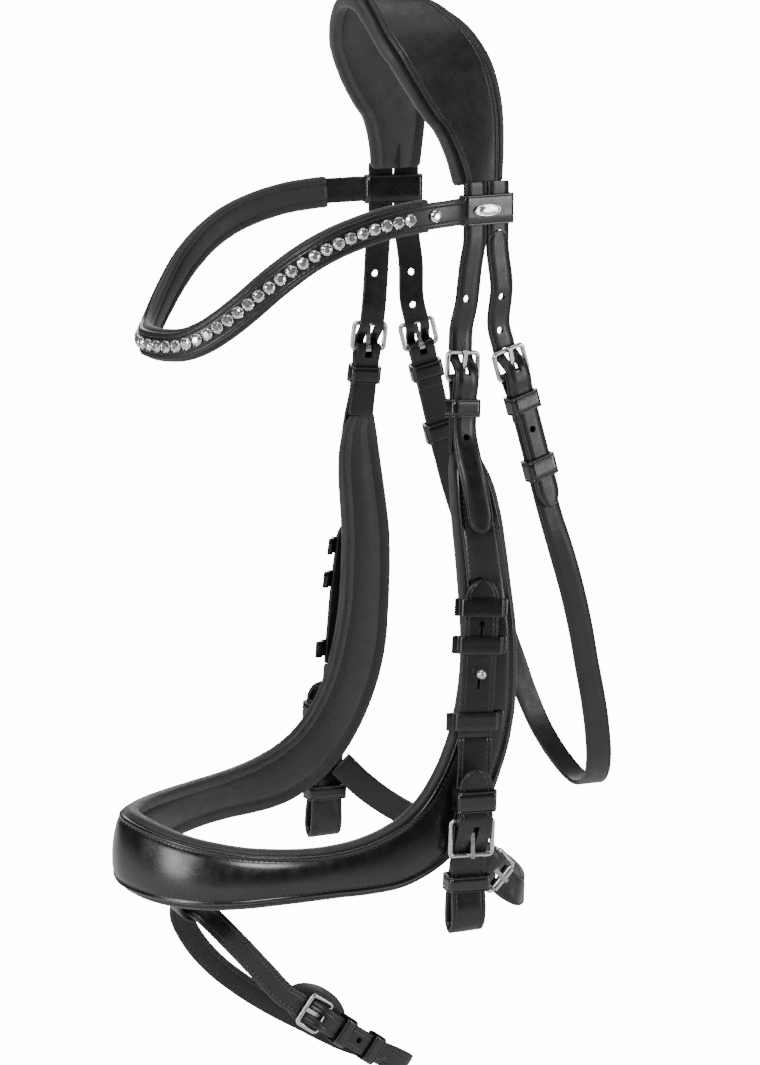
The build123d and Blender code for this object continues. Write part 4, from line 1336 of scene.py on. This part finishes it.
    def build_stones(self, path: Path) -> None:
        """Stones in their settings along the centre line, one apart near each loop.

        Args:
            path: back of the browband's leather.
        """
        middle = path.length / 2
        k = np.arange(-self.stones_half, self.stones_half + 1) * self.stone_pitch
        apart = (self.stones_half + 2.2) * self.stone_pitch
        s = np.concatenate([middle + k, [middle - apart, middle + apart]])
        p, t, m, w, _ = path.sample(s)
        rng = np.random.default_rng(4)
        turn = rng.uniform(0, np.pi, len(s))
        ax = t * np.cos(turn)[:, None] + w * np.sin(turn)[:, None]
        basis = np.stack([ax, np.cross(m, ax), m], axis=1)
        seat = p + m * (SIZE.cover + 0.3)
        for name, shape, finish, rise, sharp in (
                ("browband_stones", self.stone(), Finish.STONE, 0.42, None),
                ("stone_settings", self.setting(), Finish.SETTING, 0.0, 40)):
            verts = (seat + m * rise)[:, None] + np.einsum("vi,nij->nvj", shape.verts, basis)
            copies = [Surface(v, shape.faces) for v in verts]
            node = "browband_crystals" if finish is Finish.STONE else "crystal_settings"
            piece(name, Surface.joined(copies), finish, "browband", (node,), sharp=sharp)

    def build_loops(self) -> None:
        """Loops round both billets and the plain oval badge on the left one."""
        span = SIZE.billet_pitch + SIZE.billet
        for side in Side:
            band = loop_band(LOOP, span, -SIZE.strap / 2, SIZE.strap / 2, self.loop_h, self.loop_t,
                             gap=self.loop_gap)
            piece(f"browband_loop_leather_{side.value}", mirrored(band, side), Finish.GLOSS, "browband",
                  (f"browband_loop_{side.value}",))
        piece("oval_badge", self.badge(), Finish.SETTING, "browband", ("browband_badge",), sharp=35)

    def badge(self) -> Surface:
        """Plain oval on the left loop: a bevelled rim and a low dome.

        Rings of an ellipse whose height follows a short list from the rim to the crown.

        Returns:
            The badge.
        """
        reach = np.array([1.0, 1.0, 0.95, 0.86, 0.8, 0.6, 0.35])
        rise = np.array([0.0, 0.75, 0.95, 0.95, 0.8, 1.05, 1.17])
        turn = np.linspace(0, 2 * np.pi, 64, endpoint=False)
        base = SIZE.strap / 2 + self.loop_gap + self.loop_t + 0.05
        k, n = len(turn), len(reach)
        grid = np.stack([np.broadcast_to(base + rise[:, None], (n, k)),
                         reach[:, None] * self.badge_long * np.cos(turn) - self.badge_forward,
                         reach[:, None] * self.badge_high * np.sin(turn)], axis=-1)
        faces = grid_faces(n, k, False) + [list(range(k))[::-1], list(range((n - 1) * k, n * k))]
        return Surface(LOOP.place(grid.reshape(-1, 3)), faces).outward()

    def build(self) -> None:
        """Makes the whole browband."""
        path = self.build_band()
        self.build_stones(path)
        self.build_loops()


# ------------------------------------------------------------------ noseband

@dataclass
class Noseband:
    """Wide padded noseband whose cheeks run up to the headpiece's billets."""

    edges: list = field(default_factory=lambda: both_halves([
        [68.6, 11.6, -239.5, 70.6, 27, -240], [71.8, 9.2, -247, 74.6, 29.6, -247],
        [75.6, 8, -259, 79.2, 33.2, -258], [77.7, 8.3, -273, 81.8, 36.2, -274],
        [79, 9.8, -289, 82.2, 38.8, -292], [80.2, 11.5, -313, 82.8, 42, -315],
        [82.5, 12, -336, 86, 43.8, -338], [84, 11, -358, 87.5, 43.6, -361],
        [84.9, 7.5, -380, 88.2, 41.8, -386], [85, 1.5, -401, 89, 36, -410],
        [85.2, -7, -418, 90, 26, -433.5], [85.6, -18, -432, 90.5, 12, -454],
        [86, -30, -441, 90.5, -4, -467], [85.3, -42, -446, 90, -22, -475],
        [84, -54, -449, 88, -42, -478.5], [81.5, -67, -451, 85, -62, -480],
        [77.5, -80, -452, 81, -80, -481.5], [71.5, -93.5, -452.3, 75, -97, -483.2],
        [63.5, -107.5, -452, 66, -113.5, -485.5], [53, -120.5, -450.8, 55, -127.5, -487.5],
        [40, -132, -449.3, 41, -139.5, -488.8], [26, -141, -447, 26, -148, -489],
        [12.5, -147.5, -444.5, 12, -152.2, -488.8], [0, -150, -443.4, 0, -153.8, -488.6]]))
    inset: float = 3.2
    dome: float = 2.6
    front_reach: float = 215.0
    rim_groove: float = 2.9
    channel: float = 7.0
    channel_depth: float = 2.1

    def path(self) -> Path:
        """Middle layer of the padding."""
        return Path.edges(self.edges, -1)

    def taper(self, path: Path) -> Array:
        """Padding's thickness as a share of its full one, thinner at both upper ends."""
        s = path.s
        return np.minimum(1.0, 0.38 + np.minimum(s, s[-1] - s) / 75)

    def seat(self, z: float, forward: float, rise: float, width: float) -> list:
        """Row of a strap that lies on the left cheek's leather.

        Args:
            z: height on the cheek.
            forward: offset across the cheek from its middle.
            rise: the strap's middle layer over the leather.
            width: the strap's width.

        Returns:
            Point, face normal and width.
        """
        path = self.path()
        half = len(path.p) // 2
        order = np.argsort(path.p[:half, 2])
        at = np.interp(z, path.p[:half, 2][order], path.s[:half][order])
        p, _, m, w, _ = path.sample(np.array([at]))
        thick = SIZE.nose_pad / 2 * np.interp(at, path.s, self.taper(path))
        q = p[0] + w[0] * forward + m[0] * (thick + SIZE.lay + SIZE.cover + rise)
        return [*q, *m[0], width]

    def build(self) -> None:
        """Lining with rolled edges, domed outer leather, and the stitching of both."""
        path = self.path()
        thin = self.taper(path)
        half = SIZE.nose_pad / 2
        front = np.clip(1 - np.abs(path.s - path.length / 2) / self.front_reach, 0, 1) ** 0.6
        roll = ((1.8, 0.0), (3.6, 0.0), (5.2, 0.45), (6.4, 1.7), (self.channel, self.channel_depth),
                (7.6, 1.7), (9.4, 0.75), (12, 0.3))
        pad = Profile(-half, half, edge=3.0, marks=((3.4, 0.0), (4.4, 0.4), (6, 0.6)), back_marks=roll,
                      back_dome=0.4)
        section = pad.along(path, thin) + creased(path, 0.25)
        obj = piece("noseband_lining", swept(path, section), Finish.LINING, "headstall",
                    ("noseband_padding",))
        level = half + SIZE.lay + SIZE.cover
        rim = ((0.8, 0.0), (1.5, 0.06), (2.0, 0.5), (self.rim_groove, 0.75),
               (3.6, 0.5), (4.6, 0.25), (6.5, 0.0))
        cover = Profile(half - 0.6, level, inset=self.inset, edge=0.95, dome=self.dome, marks=rim)
        lift = (thin - 1)[:, None] * half
        section = cover.along(path, 1.0, front)
        section[..., 1] += lift
        piece("noseband_cover", swept(path, section), Finish.GLOSS, "headstall", ("noseband_leather",))
        h = np.maximum(path.width / 2 - self.inset, 1)
        rise = level + lift[:, 0] + self.dome * front * (1 - ((h - self.rim_groove) / h) ** 2) - 0.62
        seam = replace(path, p=path.p + path.m * rise[:, None], width=2 * h)
        inside = replace(path, p=path.p - path.m * ((half - self.channel_depth) * thin)[:, None], m=-path.m)
        rows = [STITCH.both(seam, self.rim_groove, 0.0, 6, 6), STITCH.both(inside, self.channel, 0.0, 8, 8)]
        piece("noseband_stitching", Surface.joined(rows), Finish.THREAD, "headstall", sharp=THREAD_EDGE)


@dataclass
class CheekFittings:
    """Chapes and keepers of the cheek buckles."""

    def build(self) -> None:
        """Folded leather round each hinge bar, and one keeper below it."""
        slot = ring_slot(CHEEK)
        rings = []
        for side in Side:
            piece(f"cheek_chape_leather_{side.value}", mirrored(chape(CHEEK, SIZE.billet, 40), side),
                  Finish.LEATHER, "headstall", (f"cheek_chape_{side.value}",), [mirrored(slot, side)],
                  sharp=CUT_EDGE)
            back = -(SIZE.chape + SIZE.lay / 2)
            front = SIZE.chape + SIZE.lay * 1.5 + SIZE.strap
            ring = loop_band(CHEEK, SIZE.billet, back, front, 10, at=-15.5)
            rings.append(mirrored(ring, side))
            dress([f"cheek_buckle_{side.value}", f"cheek_tongue_{side.value}"], Finish.STEEL)
        piece("cheek_keeper_leather", Surface.joined(rings), Finish.GLOSS, "headstall", ("cheek_keepers",))


# ------------------------------------------------------------------ bit straps

@dataclass
class BitStraps:
    """Straps on the noseband's cheeks that carry the bit, each in two parts."""

    line: list = field(default_factory=lambda: [
        (-307, 3.6), (-322, 5.6), (-340, 7.7), (-358, 8.8), (-374, 8.6), (-386, 7.8), (-396.7, 5.8)])
    keepers: tuple = ((-323.0, 31.0), (-343.5, 32.0), (-385.8, 33.5))
    stud_z: float = -359.0
    key_pitch: float = 27.0
    tip: float = 11.0
    out: tuple = (0.995, -0.1, 0.0)

    def seat(self, rise: float) -> Array:
        """Points over the noseband's face along the strap's line."""
        nose = Noseband()
        return np.array([nose.seat(z, f, rise, SIZE.bit_strap)[:3] for z, f in self.line])

    def face(self, z: float) -> Fitting:
        """Frame on the noseband's face at a height on the strap's line.

        Args:
            z: the height.

        Returns:
            The frame, its z up the line.
        """
        pts = self.seat(0.0)
        k = int(np.clip(np.searchsorted(-pts[:, 2], -z) - 1, 0, len(pts) - 2))
        a, b = pts[k], pts[k + 1]
        u = (a[2] - z) / (a[2] - b[2])
        return Fitting(tuple(a * (1 - u) + b * u), tuple(a - b), self.out)

    def fixed(self) -> Path:
        """Upper part, from below its last keeper up to its rounded tip."""
        pts = self.seat(SIZE.lay * 2 + SIZE.bit_t / 2)[::-1]
        return Path.strap([[*p, *self.out, SIZE.bit_strap] for p in pts]).rounded(end=self.tip)

    def fold(self) -> Path:
        """Lower part: down, round the bit's seat and up through the buckle.

        Returns:
            The path of the left fold.
        """
        x, y, z = self.seat(SIZE.lay * 2 + SIZE.bit_t / 2)[-1]
        o = self.out
        rows = [[x, y, z - 0.5, *o], [96.0, 14.4, -408, *o], [97.3, 12.8, -425, *o], [98.9, 11.0, -441, *o],
                [99.7, 9.6, -455, *o], [98.9, 8.6, -466, *o], [97.4, 7.8, -476, *o],
                [96.2, 7.3, -486, 0.99, -0.05, 0.1], [95.8, 7.0, -494, 0.99, 0, 0.1],
                [97.0, 6.8, -500, 0.7, 0, 0.7], [100.6, 6.7, -502.8, 0, 0, 1],
                [104.2, 6.7, -499.6, -0.7, 0, 0.7], [105.4, 6.9, -492, -0.99, 0.05, 0.1],
                [103.8, 7.3, -481.5, -0.99, 0.06, 0]]
        rows = [r + [SIZE.bit_strap] for r in rows]
        rows += buckled(BIT, SIZE.bit_bar, SIZE.bit_t, 32, -30, SIZE.bit_strap, sign=-1)
        return Path.strap(rows, 1.2).rounded(end=self.tip)

    def bridge(self, z: float, full: float) -> Surface:
        """Keeper sewn to the noseband: feet and a bridge with rounded shoulders.

        Args:
            z: its height on the strap's line.
            full: length over both feet.

        Returns:
            The keeper.
        """
        t = SIZE.keeper
        a = SIZE.bit_strap / 2 + SIZE.keeper_gap + t / 2
        h = SIZE.bit_t + SIZE.lay * 2 + SIZE.keeper_gap + t / 2 + SIZE.lay
        foot = SIZE.lay + t / 2
        outline = filleted([(foot, full / 2), (foot, a + 1.5), (h, a), (h, -a), (foot, -a - 1.5),
                            (foot, -full / 2)], 1.6, 1.2)
        path = self.face(z).band(outline, 10.0)
        profile = Profile(-t / 2, t / 2, edge=0.5, marks=((0.9, 0.0), (1.2, 0.22), (1.5, 0.0)))
        return swept(path, profile.along(path))

    def keyhole(self, z: float) -> list[Surface]:
        """Cutters of a keyhole slot: round end above, narrow slit below.

        Args:
            z: height of the slot's round end.

        Returns:
            One cutter for each part of the slot.
        """
        fit = self.face(z)
        return [rod_cutter(fit.place((2.5, 0, 0)), fit.axes[0], 1.7, 12),
                block_cutter(fit, (-3, -0.6, -9), (9, 0.6, -1))]

    def build(self) -> None:
        """Makes both bit straps with keepers, chapes and stitching."""
        fixed, fold = self.fixed(), self.fold()
        flat = Profile(-SIZE.bit_t / 2, SIZE.bit_t / 2, edge=0.85, marks=SEAM)
        lined = replace(flat, back_marks=SEAM)
        holes = [c for k in (1, 0, -1) for c in self.keyhole(self.stud_z + k * self.key_pitch)]
        slot = tongue_slot(BIT, SIZE.bit_bar, 2.0)
        chape_slot = ring_slot(BIT)
        bridges = [self.bridge(z, full) for z, full in self.keepers]
        lower = loop_band(BIT, SIZE.bit_strap + 0.8, -9.6, 0.4, 9.0, 1.6, at=36.5)
        upper = loop_band(BIT, SIZE.bit_strap, -2.6, 6.2, 12.0, 1.4, at=-12.0)
        top = SIZE.bit_t / 2 - STITCH_SINK
        back = replace(fold, m=-fold.m)
        for side in Side:
            tag, free = side.value, f"bit_fold_{side.value}"
            piece(f"bit_strap_leather_{tag}", swept(fixed.on(side), flat.along(fixed)), Finish.LEATHER,
                  "headstall", (f"bit_strap_{tag}",), [mirrored(h, side) for h in holes], sharp=CUT_EDGE)
            rows = [STITCH.both(fixed.on(side), SEAM_INSET, top, 3, 1)]
            piece(f"bit_strap_stitching_{tag}", Surface.joined(rows), Finish.THREAD, "headstall",
                  sharp=THREAD_EDGE)
            piece(f"noseband_keeper_leather_{tag}", mirrored(Surface.joined(bridges), side), Finish.GLOSS,
                  "headstall", (f"noseband_keepers_{tag}",))
            piece(f"bit_fold_leather_{tag}", swept(fold.on(side), lined.along(fold)), Finish.LEATHER, free,
                  (f"bit_strap_fold_{tag}",), [mirrored(slot, side)], sharp=CUT_EDGE)
            seams = [STITCH.both(fold.on(side), SEAM_INSET, top, 3, 150),
                     STITCH.both(back.on(side), SEAM_INSET, top, 60, 1)]
            piece(f"bit_fold_stitching_{tag}", Surface.joined(seams), Finish.THREAD, free,
                  sharp=THREAD_EDGE)
            piece(f"bit_chape_leather_{tag}", mirrored(chape(BIT, SIZE.bit_strap, 20), side),
                  Finish.LEATHER, free, (f"bit_chape_{tag}",), [mirrored(chape_slot, side)],
                  sharp=CUT_EDGE)
            piece(f"bit_keeper_leather_{tag}", mirrored(Surface.joined([lower, upper]), side), Finish.GLOSS,
                  free, (f"bit_keepers_{tag}",))
            dress([f"bit_buckle_{tag}", f"bit_tongue_{tag}"], Finish.STEEL)
        dress(["hook_studs"], Finish.STEEL)


# ------------------------------------------------------------------ throatlash

@dataclass
class Throatlash:
    """Throatlash: two billets, and the strap with a buckle at each end."""

    line: list = field(default_factory=lambda: [
        [65.3, 83.5, -304], [63.5, 91, -326], [60.6, 98, -349], [56, 104.5, -371], [51.5, 111, -392],
        [46, 117, -413], [37, 123, -433], [23, 128.5, -448.5], [9, 131.3, -456], [0, 131.8, -457.5]])

    def billet(self) -> Path:
        """Billet from its bending line under the loop to its tip.

        Returns:
            The path of the left billet.
        """
        x, y, z = PIVOT
        points = [(x, y, z + SIZE.billet / 2), (x, y, z), (60.3, 46.4, -150)]
        rows = [[*p, *BILLET_FACE, SIZE.billet] for p in points]
        rows += buckled(THROAT, SIZE.bar, SIZE.strap, 27, -78, SIZE.billet)
        return Path.strap(rows, 0.6).rounded(start=SIZE.billet / 2, end=11)

    def belt(self) -> Path:
        """Strap from one chape round under the throat to the other.

        Returns:
            The path, from left to right.
        """
        rows = [[*THROAT.place((0, 0, z)), *THROAT.axes[0], SIZE.throat] for z in (-18, -50, -84)]
        for x, y, z in self.line:
            n = unit(np.array([x + 2, 0, (z + 380) * 1.3 if z < -380 else 0.0]))
            rows.append([x, y, z, *n, SIZE.throat])
        rows[-1][3:6] = [0, 0, -1]
        return Path.strap(both_halves(rows), 2.0)

    def build(self) -> None:
        """Makes the throatlash with its keepers."""
        billet, belt = self.billet(), self.belt()
        holes = [billet.hole(z) for z in (-156.0, -175.0)]
        holes.append(punched(THROAT, 3.4, SIZE.tongue_z - SIZE.hole_pitch * 2, 6, SIZE.hole))
        holes.append(tongue_slot(THROAT, SIZE.bar))
        slot = ring_slot(THROAT)
        high = SIZE.chape + SIZE.lay * 1.5 + SIZE.strap
        rings = []
        for side in Side:
            tag = side.value
            piece(f"throatlash_billet_leather_{tag}", swept(billet.on(side), FLAT.along(billet)),
                  Finish.LEATHER, "throatlash", (f"throatlash_billet_{tag}",),
                  [mirrored(h, side) for h in holes], sharp=CUT_EDGE)
            ring = loop_band(THROAT, SIZE.throat, -SIZE.chape - SIZE.lay / 2, high, 10, at=-15.5)
            rings.append(mirrored(ring, side))
            loose = loop_band(THROAT, SIZE.throat, -SIZE.strap / 2, high, 12, at=-54)
            piece(f"throatlash_slider_leather_{tag}", mirrored(loose, side), Finish.GLOSS,
                  f"throatlash_slider_{tag}", (f"throatlash_slider_{tag}",))
            piece(f"throatlash_chape_leather_{tag}", mirrored(chape(THROAT, SIZE.throat, 26), side),
                  Finish.LEATHER, "throatlash", (), [mirrored(slot, side)], sharp=CUT_EDGE)
            dress([f"throatlash_buckle_{tag}", f"throatlash_tongue_{tag}"], Finish.STEEL)
        piece("throatlash_belt_leather", swept(belt, FLAT.along(belt)), Finish.SINGLE, "throatlash",
              ("throatlash_strap",))
        piece("throatlash_keeper_leather", Surface.joined(rings), Finish.GLOSS, "throatlash",
              ("throatlash_keepers",))


# ------------------------------------------------------------------ jaw strap

@dataclass
class JawStrap:
    """Jaw strap behind the chin groove, fastened at the left by a roller buckle."""

    line: list = field(default_factory=lambda: [
        [-90.2, 13.6, -456.4], [-87.0, 27, -470.6], [-82.0, 40, -481.5], [-72, 52.5, -489.5],
        [-52, 64.5, -495], [-27, 71.5, -498], [0, 74, -499], [27, 72.5, -499], [50, 67, -498.5],
        [67, 58.5, -497], [77.5, 49, -492.5]])
    roller: float = 2.6

    def path(self) -> Path:
        """From the noseband's right end round behind the jaw and through the buckle.

        Returns:
            The path.
        """
        rows = []
        for x, y, z in self.line:
            n = unit(np.array([x, max(y - 20, 0) * 1.6 + 8, 0.0]))
            rows.append([x, y, z, *n, SIZE.jaw])
        rows += buckled(JAW, SIZE.bar, SIZE.strap, 23, -17, SIZE.jaw, self.roller)
        return Path.strap(rows).rounded(end=5)

    def build(self) -> None:
        """Makes the strap, its tab and the steel of its buckle."""
        path = self.path()
        slot = tongue_slot(JAW, SIZE.bar, 2.0, 2.2)
        tab_slot = ring_slot(JAW)
        piece("jaw_strap_leather", swept(path, FLAT.along(path)), Finish.SINGLE, "headstall", ("jaw_strap",),
              [slot], sharp=CUT_EDGE)
        piece("jaw_tab_leather", chape(JAW, SIZE.jaw, 22.3), Finish.LEATHER, "headstall", ("jaw_tab",),
              [tab_slot], sharp=CUT_EDGE)
        dress(["jaw_buckle", "jaw_roller", "jaw_tongue"], Finish.STEEL)


# ------------------------------------------------------------------ flash strap

@dataclass
class Flash:
    """Flash strap in its loop under the noseband, buckled at the left."""

    pivot: tuple = (0.0, -118.0, -500.0)
    hole: float = 1.8
    hole_pitch: float = 15.0
    loop_r: float = 8.0
    loop_w: float = 18.0
    loop_reach: float = 30.0
    loop_slope: float = 18.0
    safe_long: float = 23.0
    safe_wide: float = 12.5

    def near(self) -> Path:
        """Left branch: from the loop down to the buckle and on to the tip.

        Returns:
            The path.
        """
        rows = [[0.3, -118, -500, 0, -0.53, 0.848], [9, -117.6, -500.6, 0.1, -0.53, 0.84],
                [18, -114, -504, 0.6, -0.42, 0.68], [23.6, -107.5, -511.5, 0.95, -0.1, 0.2],
                [25.6, -98, -522.5, 1, 0, 0], [25.8, -84, -539, 1, 0, 0]]
        rows = [r + [SIZE.flash] for r in rows] + buckled(FLASH, SIZE.bar, SIZE.strap, 27, -50, SIZE.flash)
        return Path.strap(rows).rounded(end=9)

    def far(self) -> Path:
        """Chape's strap, the turn behind the chin and the right branch.

        Returns:
            The path.
        """
        rows = [[*FLASH.place((0, 0, z)), 1, 0, 0] for z in (-12, -30, -50)]
        rows += [[16.6, 4.5, -609.6, 0.9, 0.4, -0.2], [11, 11.6, -614.2, 0.5, 0.7, -0.5],
                 [4, 13.8, -615.8, 0, 0.8, -0.6], [-2.6, 10.6, -614.6, -0.6, 0.6, -0.5],
                 [-8, 1.5, -610.4, -0.95, 0.2, -0.2], [-14, -18, -602, -1, 0.1, 0],
                 [-19, -39, -589.5, -1, 0, 0], [-22, -59, -577, -1, 0, 0], [-24, -78, -563, -1, 0, 0],
                 [-25, -94, -548.5, -1, 0, 0], [-25, -107, -532, -1, 0, 0],
                 [-23.6, -114.8, -516.5, -0.97, -0.1, 0.2], [-18, -117.6, -505.4, -0.6, -0.42, 0.68],
                 [-9, -118.2, -500.8, -0.1, -0.53, 0.84], [-0.3, -118, -500, 0, -0.53, 0.848]]
        return Path.strap([r + [SIZE.flash] for r in rows])

    def safe(self) -> Surface:
        """Rounded leather safe behind the buckle, slightly dished at its edge.

        A grid over an ellipse: the radius grows to the edge, and the face rises with
        the fourth power of the radius.

        Returns:
            The safe.
        """
        ring, turn = np.linspace(0.02, 1, 12), np.linspace(0, 2 * np.pi, 72, endpoint=False)
        r, a = np.meshgrid(ring, turn, indexing="ij")
        z, y = 4 + self.safe_long * r * np.cos(a), 2.5 + self.safe_wide * r * np.sin(a)
        sag = -7.4 - 1.2 * r ** 4
        outer = FLASH.place(np.stack([sag + 1.8 - 0.5 * r ** 12, y, z], axis=-1).reshape(-1, 3))
        inner = FLASH.place(np.stack([sag + 0.5 * r ** 12, y, z], axis=-1).reshape(-1, 3))
        k, n = len(turn), len(ring)
        faces = grid_faces(n, k, False)
        base = n * k
        faces += [[base + i for i in f[::-1]] for f in grid_faces(n, k, False)]
        rim, low = (n - 1) * k, base + (n - 1) * k
        faces += [[rim + j, low + j, low + (j + 1) % k, rim + (j + 1) % k] for j in range(k)]
        faces += [list(range(k)), list(range(base, base + k))[::-1]]
        return Surface(np.vstack([outer, inner]), faces).outward()

    def loop(self) -> Surface:
        """Leather loop: forward under the noseband, round the strap and forward again.

        Returns:
            The loop.
        """
        slope = math.radians(self.loop_slope)
        ahead = np.array([-math.cos(slope), math.sin(slope)])
        over = np.array([ahead[1], -ahead[0]])
        r = self.loop_r + 1.0
        start = math.asin(1.0 / r)
        turn = np.linspace(start, 2 * np.pi - start, 40)[:, None]
        circle = (np.cos(turn) * ahead + np.sin(turn) * over) * r
        reach = np.linspace(self.loop_reach, r + 0.5, 12)[:, None]
        line = np.vstack([ahead * reach + over, circle, (ahead * reach - over)[::-1]])
        p = np.stack([np.zeros(len(line)), line[:, 0], line[:, 1]], axis=1) + np.array(self.pivot)
        t = unit(np.gradient(p, axis=0))
        w = np.broadcast_to([1.0, 0.0, 0.0], t.shape)
        path = Path(p, t, unit(np.cross(t, w)), w, np.full(len(p), self.loop_w))
        crease = ((1.1, 0.0), (1.4, 0.2), (1.7, 0.0))
        profile = Profile(-0.95, 0.95, edge=0.5, marks=crease, back_marks=crease)
        return swept(path, profile.along(path))

    def build(self) -> None:
        """Makes the flash strap, its safe, keepers and loop."""
        near, far = self.near(), self.far()
        lined = Profile(-SIZE.strap / 2, SIZE.strap / 2, edge=0.75, marks=SEAM, back_marks=SEAM)
        slot = tongue_slot(FLASH, SIZE.bar)
        holes = [punched(FLASH, 3.3, 4 - self.hole_pitch * k, 7, self.hole) for k in (1, 2)]
        piece("flash_billet_leather", swept(near, lined.along(near)), Finish.LEATHER, "flash",
              ("flash_billet",), [slot, *holes], sharp=CUT_EDGE)
        piece("flash_strap_leather", swept(far, lined.along(far)), Finish.SINGLE, "flash", ("flash_strap",))
        chape_slot = ring_slot(FLASH)
        piece("flash_chape_leather", chape(FLASH, SIZE.flash, 18), Finish.LEATHER, "flash", (), [chape_slot],
              sharp=CUT_EDGE)
        top = SIZE.strap / 2 - STITCH_SINK
        rows = [STITCH.both(near, 2.6, top, 24, 68), STITCH.both(far, 2.6, top, 30, 24),
                STITCH.both(replace(far, m=-far.m), 2.6, top, 30, 24)]
        piece("flash_stitching", Surface.joined(rows), Finish.THREAD, "flash", sharp=THREAD_EDGE)
        piece("flash_safe_leather", self.safe(), Finish.SINGLE, "flash", ("flash_safe",))
        high = SIZE.chape + SIZE.lay * 1.5 + SIZE.strap
        near_ring = loop_band(FLASH, SIZE.flash, -SIZE.chape - SIZE.lay / 2, high, 8, at=-14.5)
        end_ring = loop_band(FLASH, SIZE.flash, -SIZE.strap / 2, high, 8, at=-38)
        piece("flash_keeper_leather", Surface.joined([near_ring, end_ring]), Finish.GLOSS, "flash",
              ("flash_keepers",))
        piece("flash_loop_leather", self.loop(), Finish.LEATHER, "headstall", ("flash_loop",))
        dress(["flash_buckle", "flash_tongue"], Finish.STEEL)


# ------------------------------------------------------------------ studio

def seen_only(tree: bpy.types.NodeTree, socket: bpy.types.NodeSocket, lit: float, seen: float) -> None:
    """Gives a backdrop one strength as a light and another where it is looked at.

    Args:
        tree: the backdrop's nodes.
        socket: its strength.
        lit: strength with which it lights the bridle.
        seen: strength that the camera sees directly.
    """
    path = tree.nodes.new("ShaderNodeLightPath")
    span = tree.nodes.new("ShaderNodeMapRange")
    span.inputs["To Min"].default_value = lit
    span.inputs["To Max"].default_value = seen
    tree.links.new(path.outputs["Is Camera Ray"], span.inputs["Value"])
    tree.links.new(span.outputs["Result"], socket)


@dataclass
class Studio:
    """Pale floor, soft lights and the camera."""

    azimuth: float = 66.0
    elevation: float = 11.59
    distance: float = 1.910
    target: tuple = (0.0, 0.0, -0.296)
    lens: float = 113.27324
    sensor: float = 36.0
    floor_drop: float = 0.12
    floor_radius: float = 40.0
    floor_glow: float = 0.05
    ambient: float = 0.07
    backdrop: float = 14.0

    def back(self) -> Vector:
        """Direction from the target to the camera."""
        a, e = math.radians(self.azimuth), math.radians(self.elevation)
        return Vector((math.sin(a) * math.cos(e), -math.cos(a) * math.cos(e), math.sin(e)))

    def build_camera(self) -> None:
        """Camera at the viewing angle, framing the whole picture."""
        data = bpy.data.cameras.new("camera")
        data.sensor_width = self.sensor
        data.lens = self.lens
        cam = bpy.data.objects.new("camera", data)
        cam.location = Vector(self.target) + self.back() * self.distance
        cam.rotation_euler = (-self.back()).to_track_quat("-Z", "Y").to_euler()
        bpy.context.scene.collection.objects.link(cam)
        bpy.context.scene.camera = cam

    def build_floor(self) -> None:
        """A wide pale disc below the hanging bridle."""
        turn = np.linspace(0, 2 * np.pi, 64, endpoint=False)
        z = CAD_BOX[0][2] - self.floor_drop
        verts = np.stack([self.floor_radius * np.cos(turn), self.floor_radius * np.sin(turn),
                          np.full(len(turn), z)], axis=1)
        mesh = bpy.data.meshes.new("floor")
        mesh.from_pydata(verts.tolist(), [], [list(range(len(turn)))])
        floor = bpy.data.objects.new("floor", mesh)
        mat = bpy.data.materials.new("floor")
        mat.use_nodes = True
        shader = mat.node_tree.nodes["Principled BSDF"]
        shader.inputs["Base Color"].default_value = (0.93, 0.93, 0.93, 1)
        shader.inputs["Roughness"].default_value = 0.9
        shader.inputs["Emission Color"].default_value = (1, 1, 1, 1)
        seen_only(mat.node_tree, shader.inputs["Emission Strength"], self.floor_glow, self.backdrop)
        mesh.materials.append(mat)
        bpy.context.scene.collection.objects.link(floor)

    def light(self, name: str, place: tuple, size: tuple, power: float, aim: tuple = (0, 0, -0.3)) -> None:
        """One soft area light that faces a point.

        Args:
            name: the light's name.
            place: where it stands, in metres.
            size: its width and height in metres.
            power: its power in watts.
            aim: the point that it faces.
        """
        data = bpy.data.lights.new(name, "AREA")
        data.shape, data.size, data.size_y, data.energy = "RECTANGLE", size[0], size[1], power
        lamp = bpy.data.objects.new(name, data)
        lamp.location = place
        lamp.rotation_euler = (Vector(aim) - Vector(place)).to_track_quat("-Z", "Y").to_euler()
        bpy.context.scene.collection.objects.link(lamp)

    def build(self) -> None:
        """Camera, floor, lights and a pale sky."""
        self.build_camera()
        self.build_floor()
        self.light("key", (1.9, -1.5, 1.3), (0.9, 0.9), 46)
        self.light("front", (0.2, -2.2, 0.1), (0.5, 1.4), 22)
        self.light("side", (1.6, 1.9, 0.2), (0.5, 1.6), 24)
        self.light("top", (0.0, 0.0, 2.0), (1.6, 1.6), 20)
        self.light("far", (-1.8, 0.6, 0.6), (1.2, 1.2), 13)
        world = bpy.data.worlds.new("world")
        world.use_nodes = True
        shader = world.node_tree.nodes["Background"]
        shader.inputs["Color"].default_value = (1, 1, 1, 1)
        seen_only(world.node_tree, shader.inputs["Strength"], self.ambient, self.backdrop)
        bpy.context.scene.world = world


def main() -> None:
    """Builds every sub-assembly in order."""
    logging.basicConfig(level=logging.INFO, format="%(message)s")
    for part in (Studio(), Headpiece(), Browband(), Noseband(), CheekFittings(), BitStraps(), Throatlash(),
                 JawStrap(), Flash()):
        part.build()


if __name__ == "__main__":
    main()
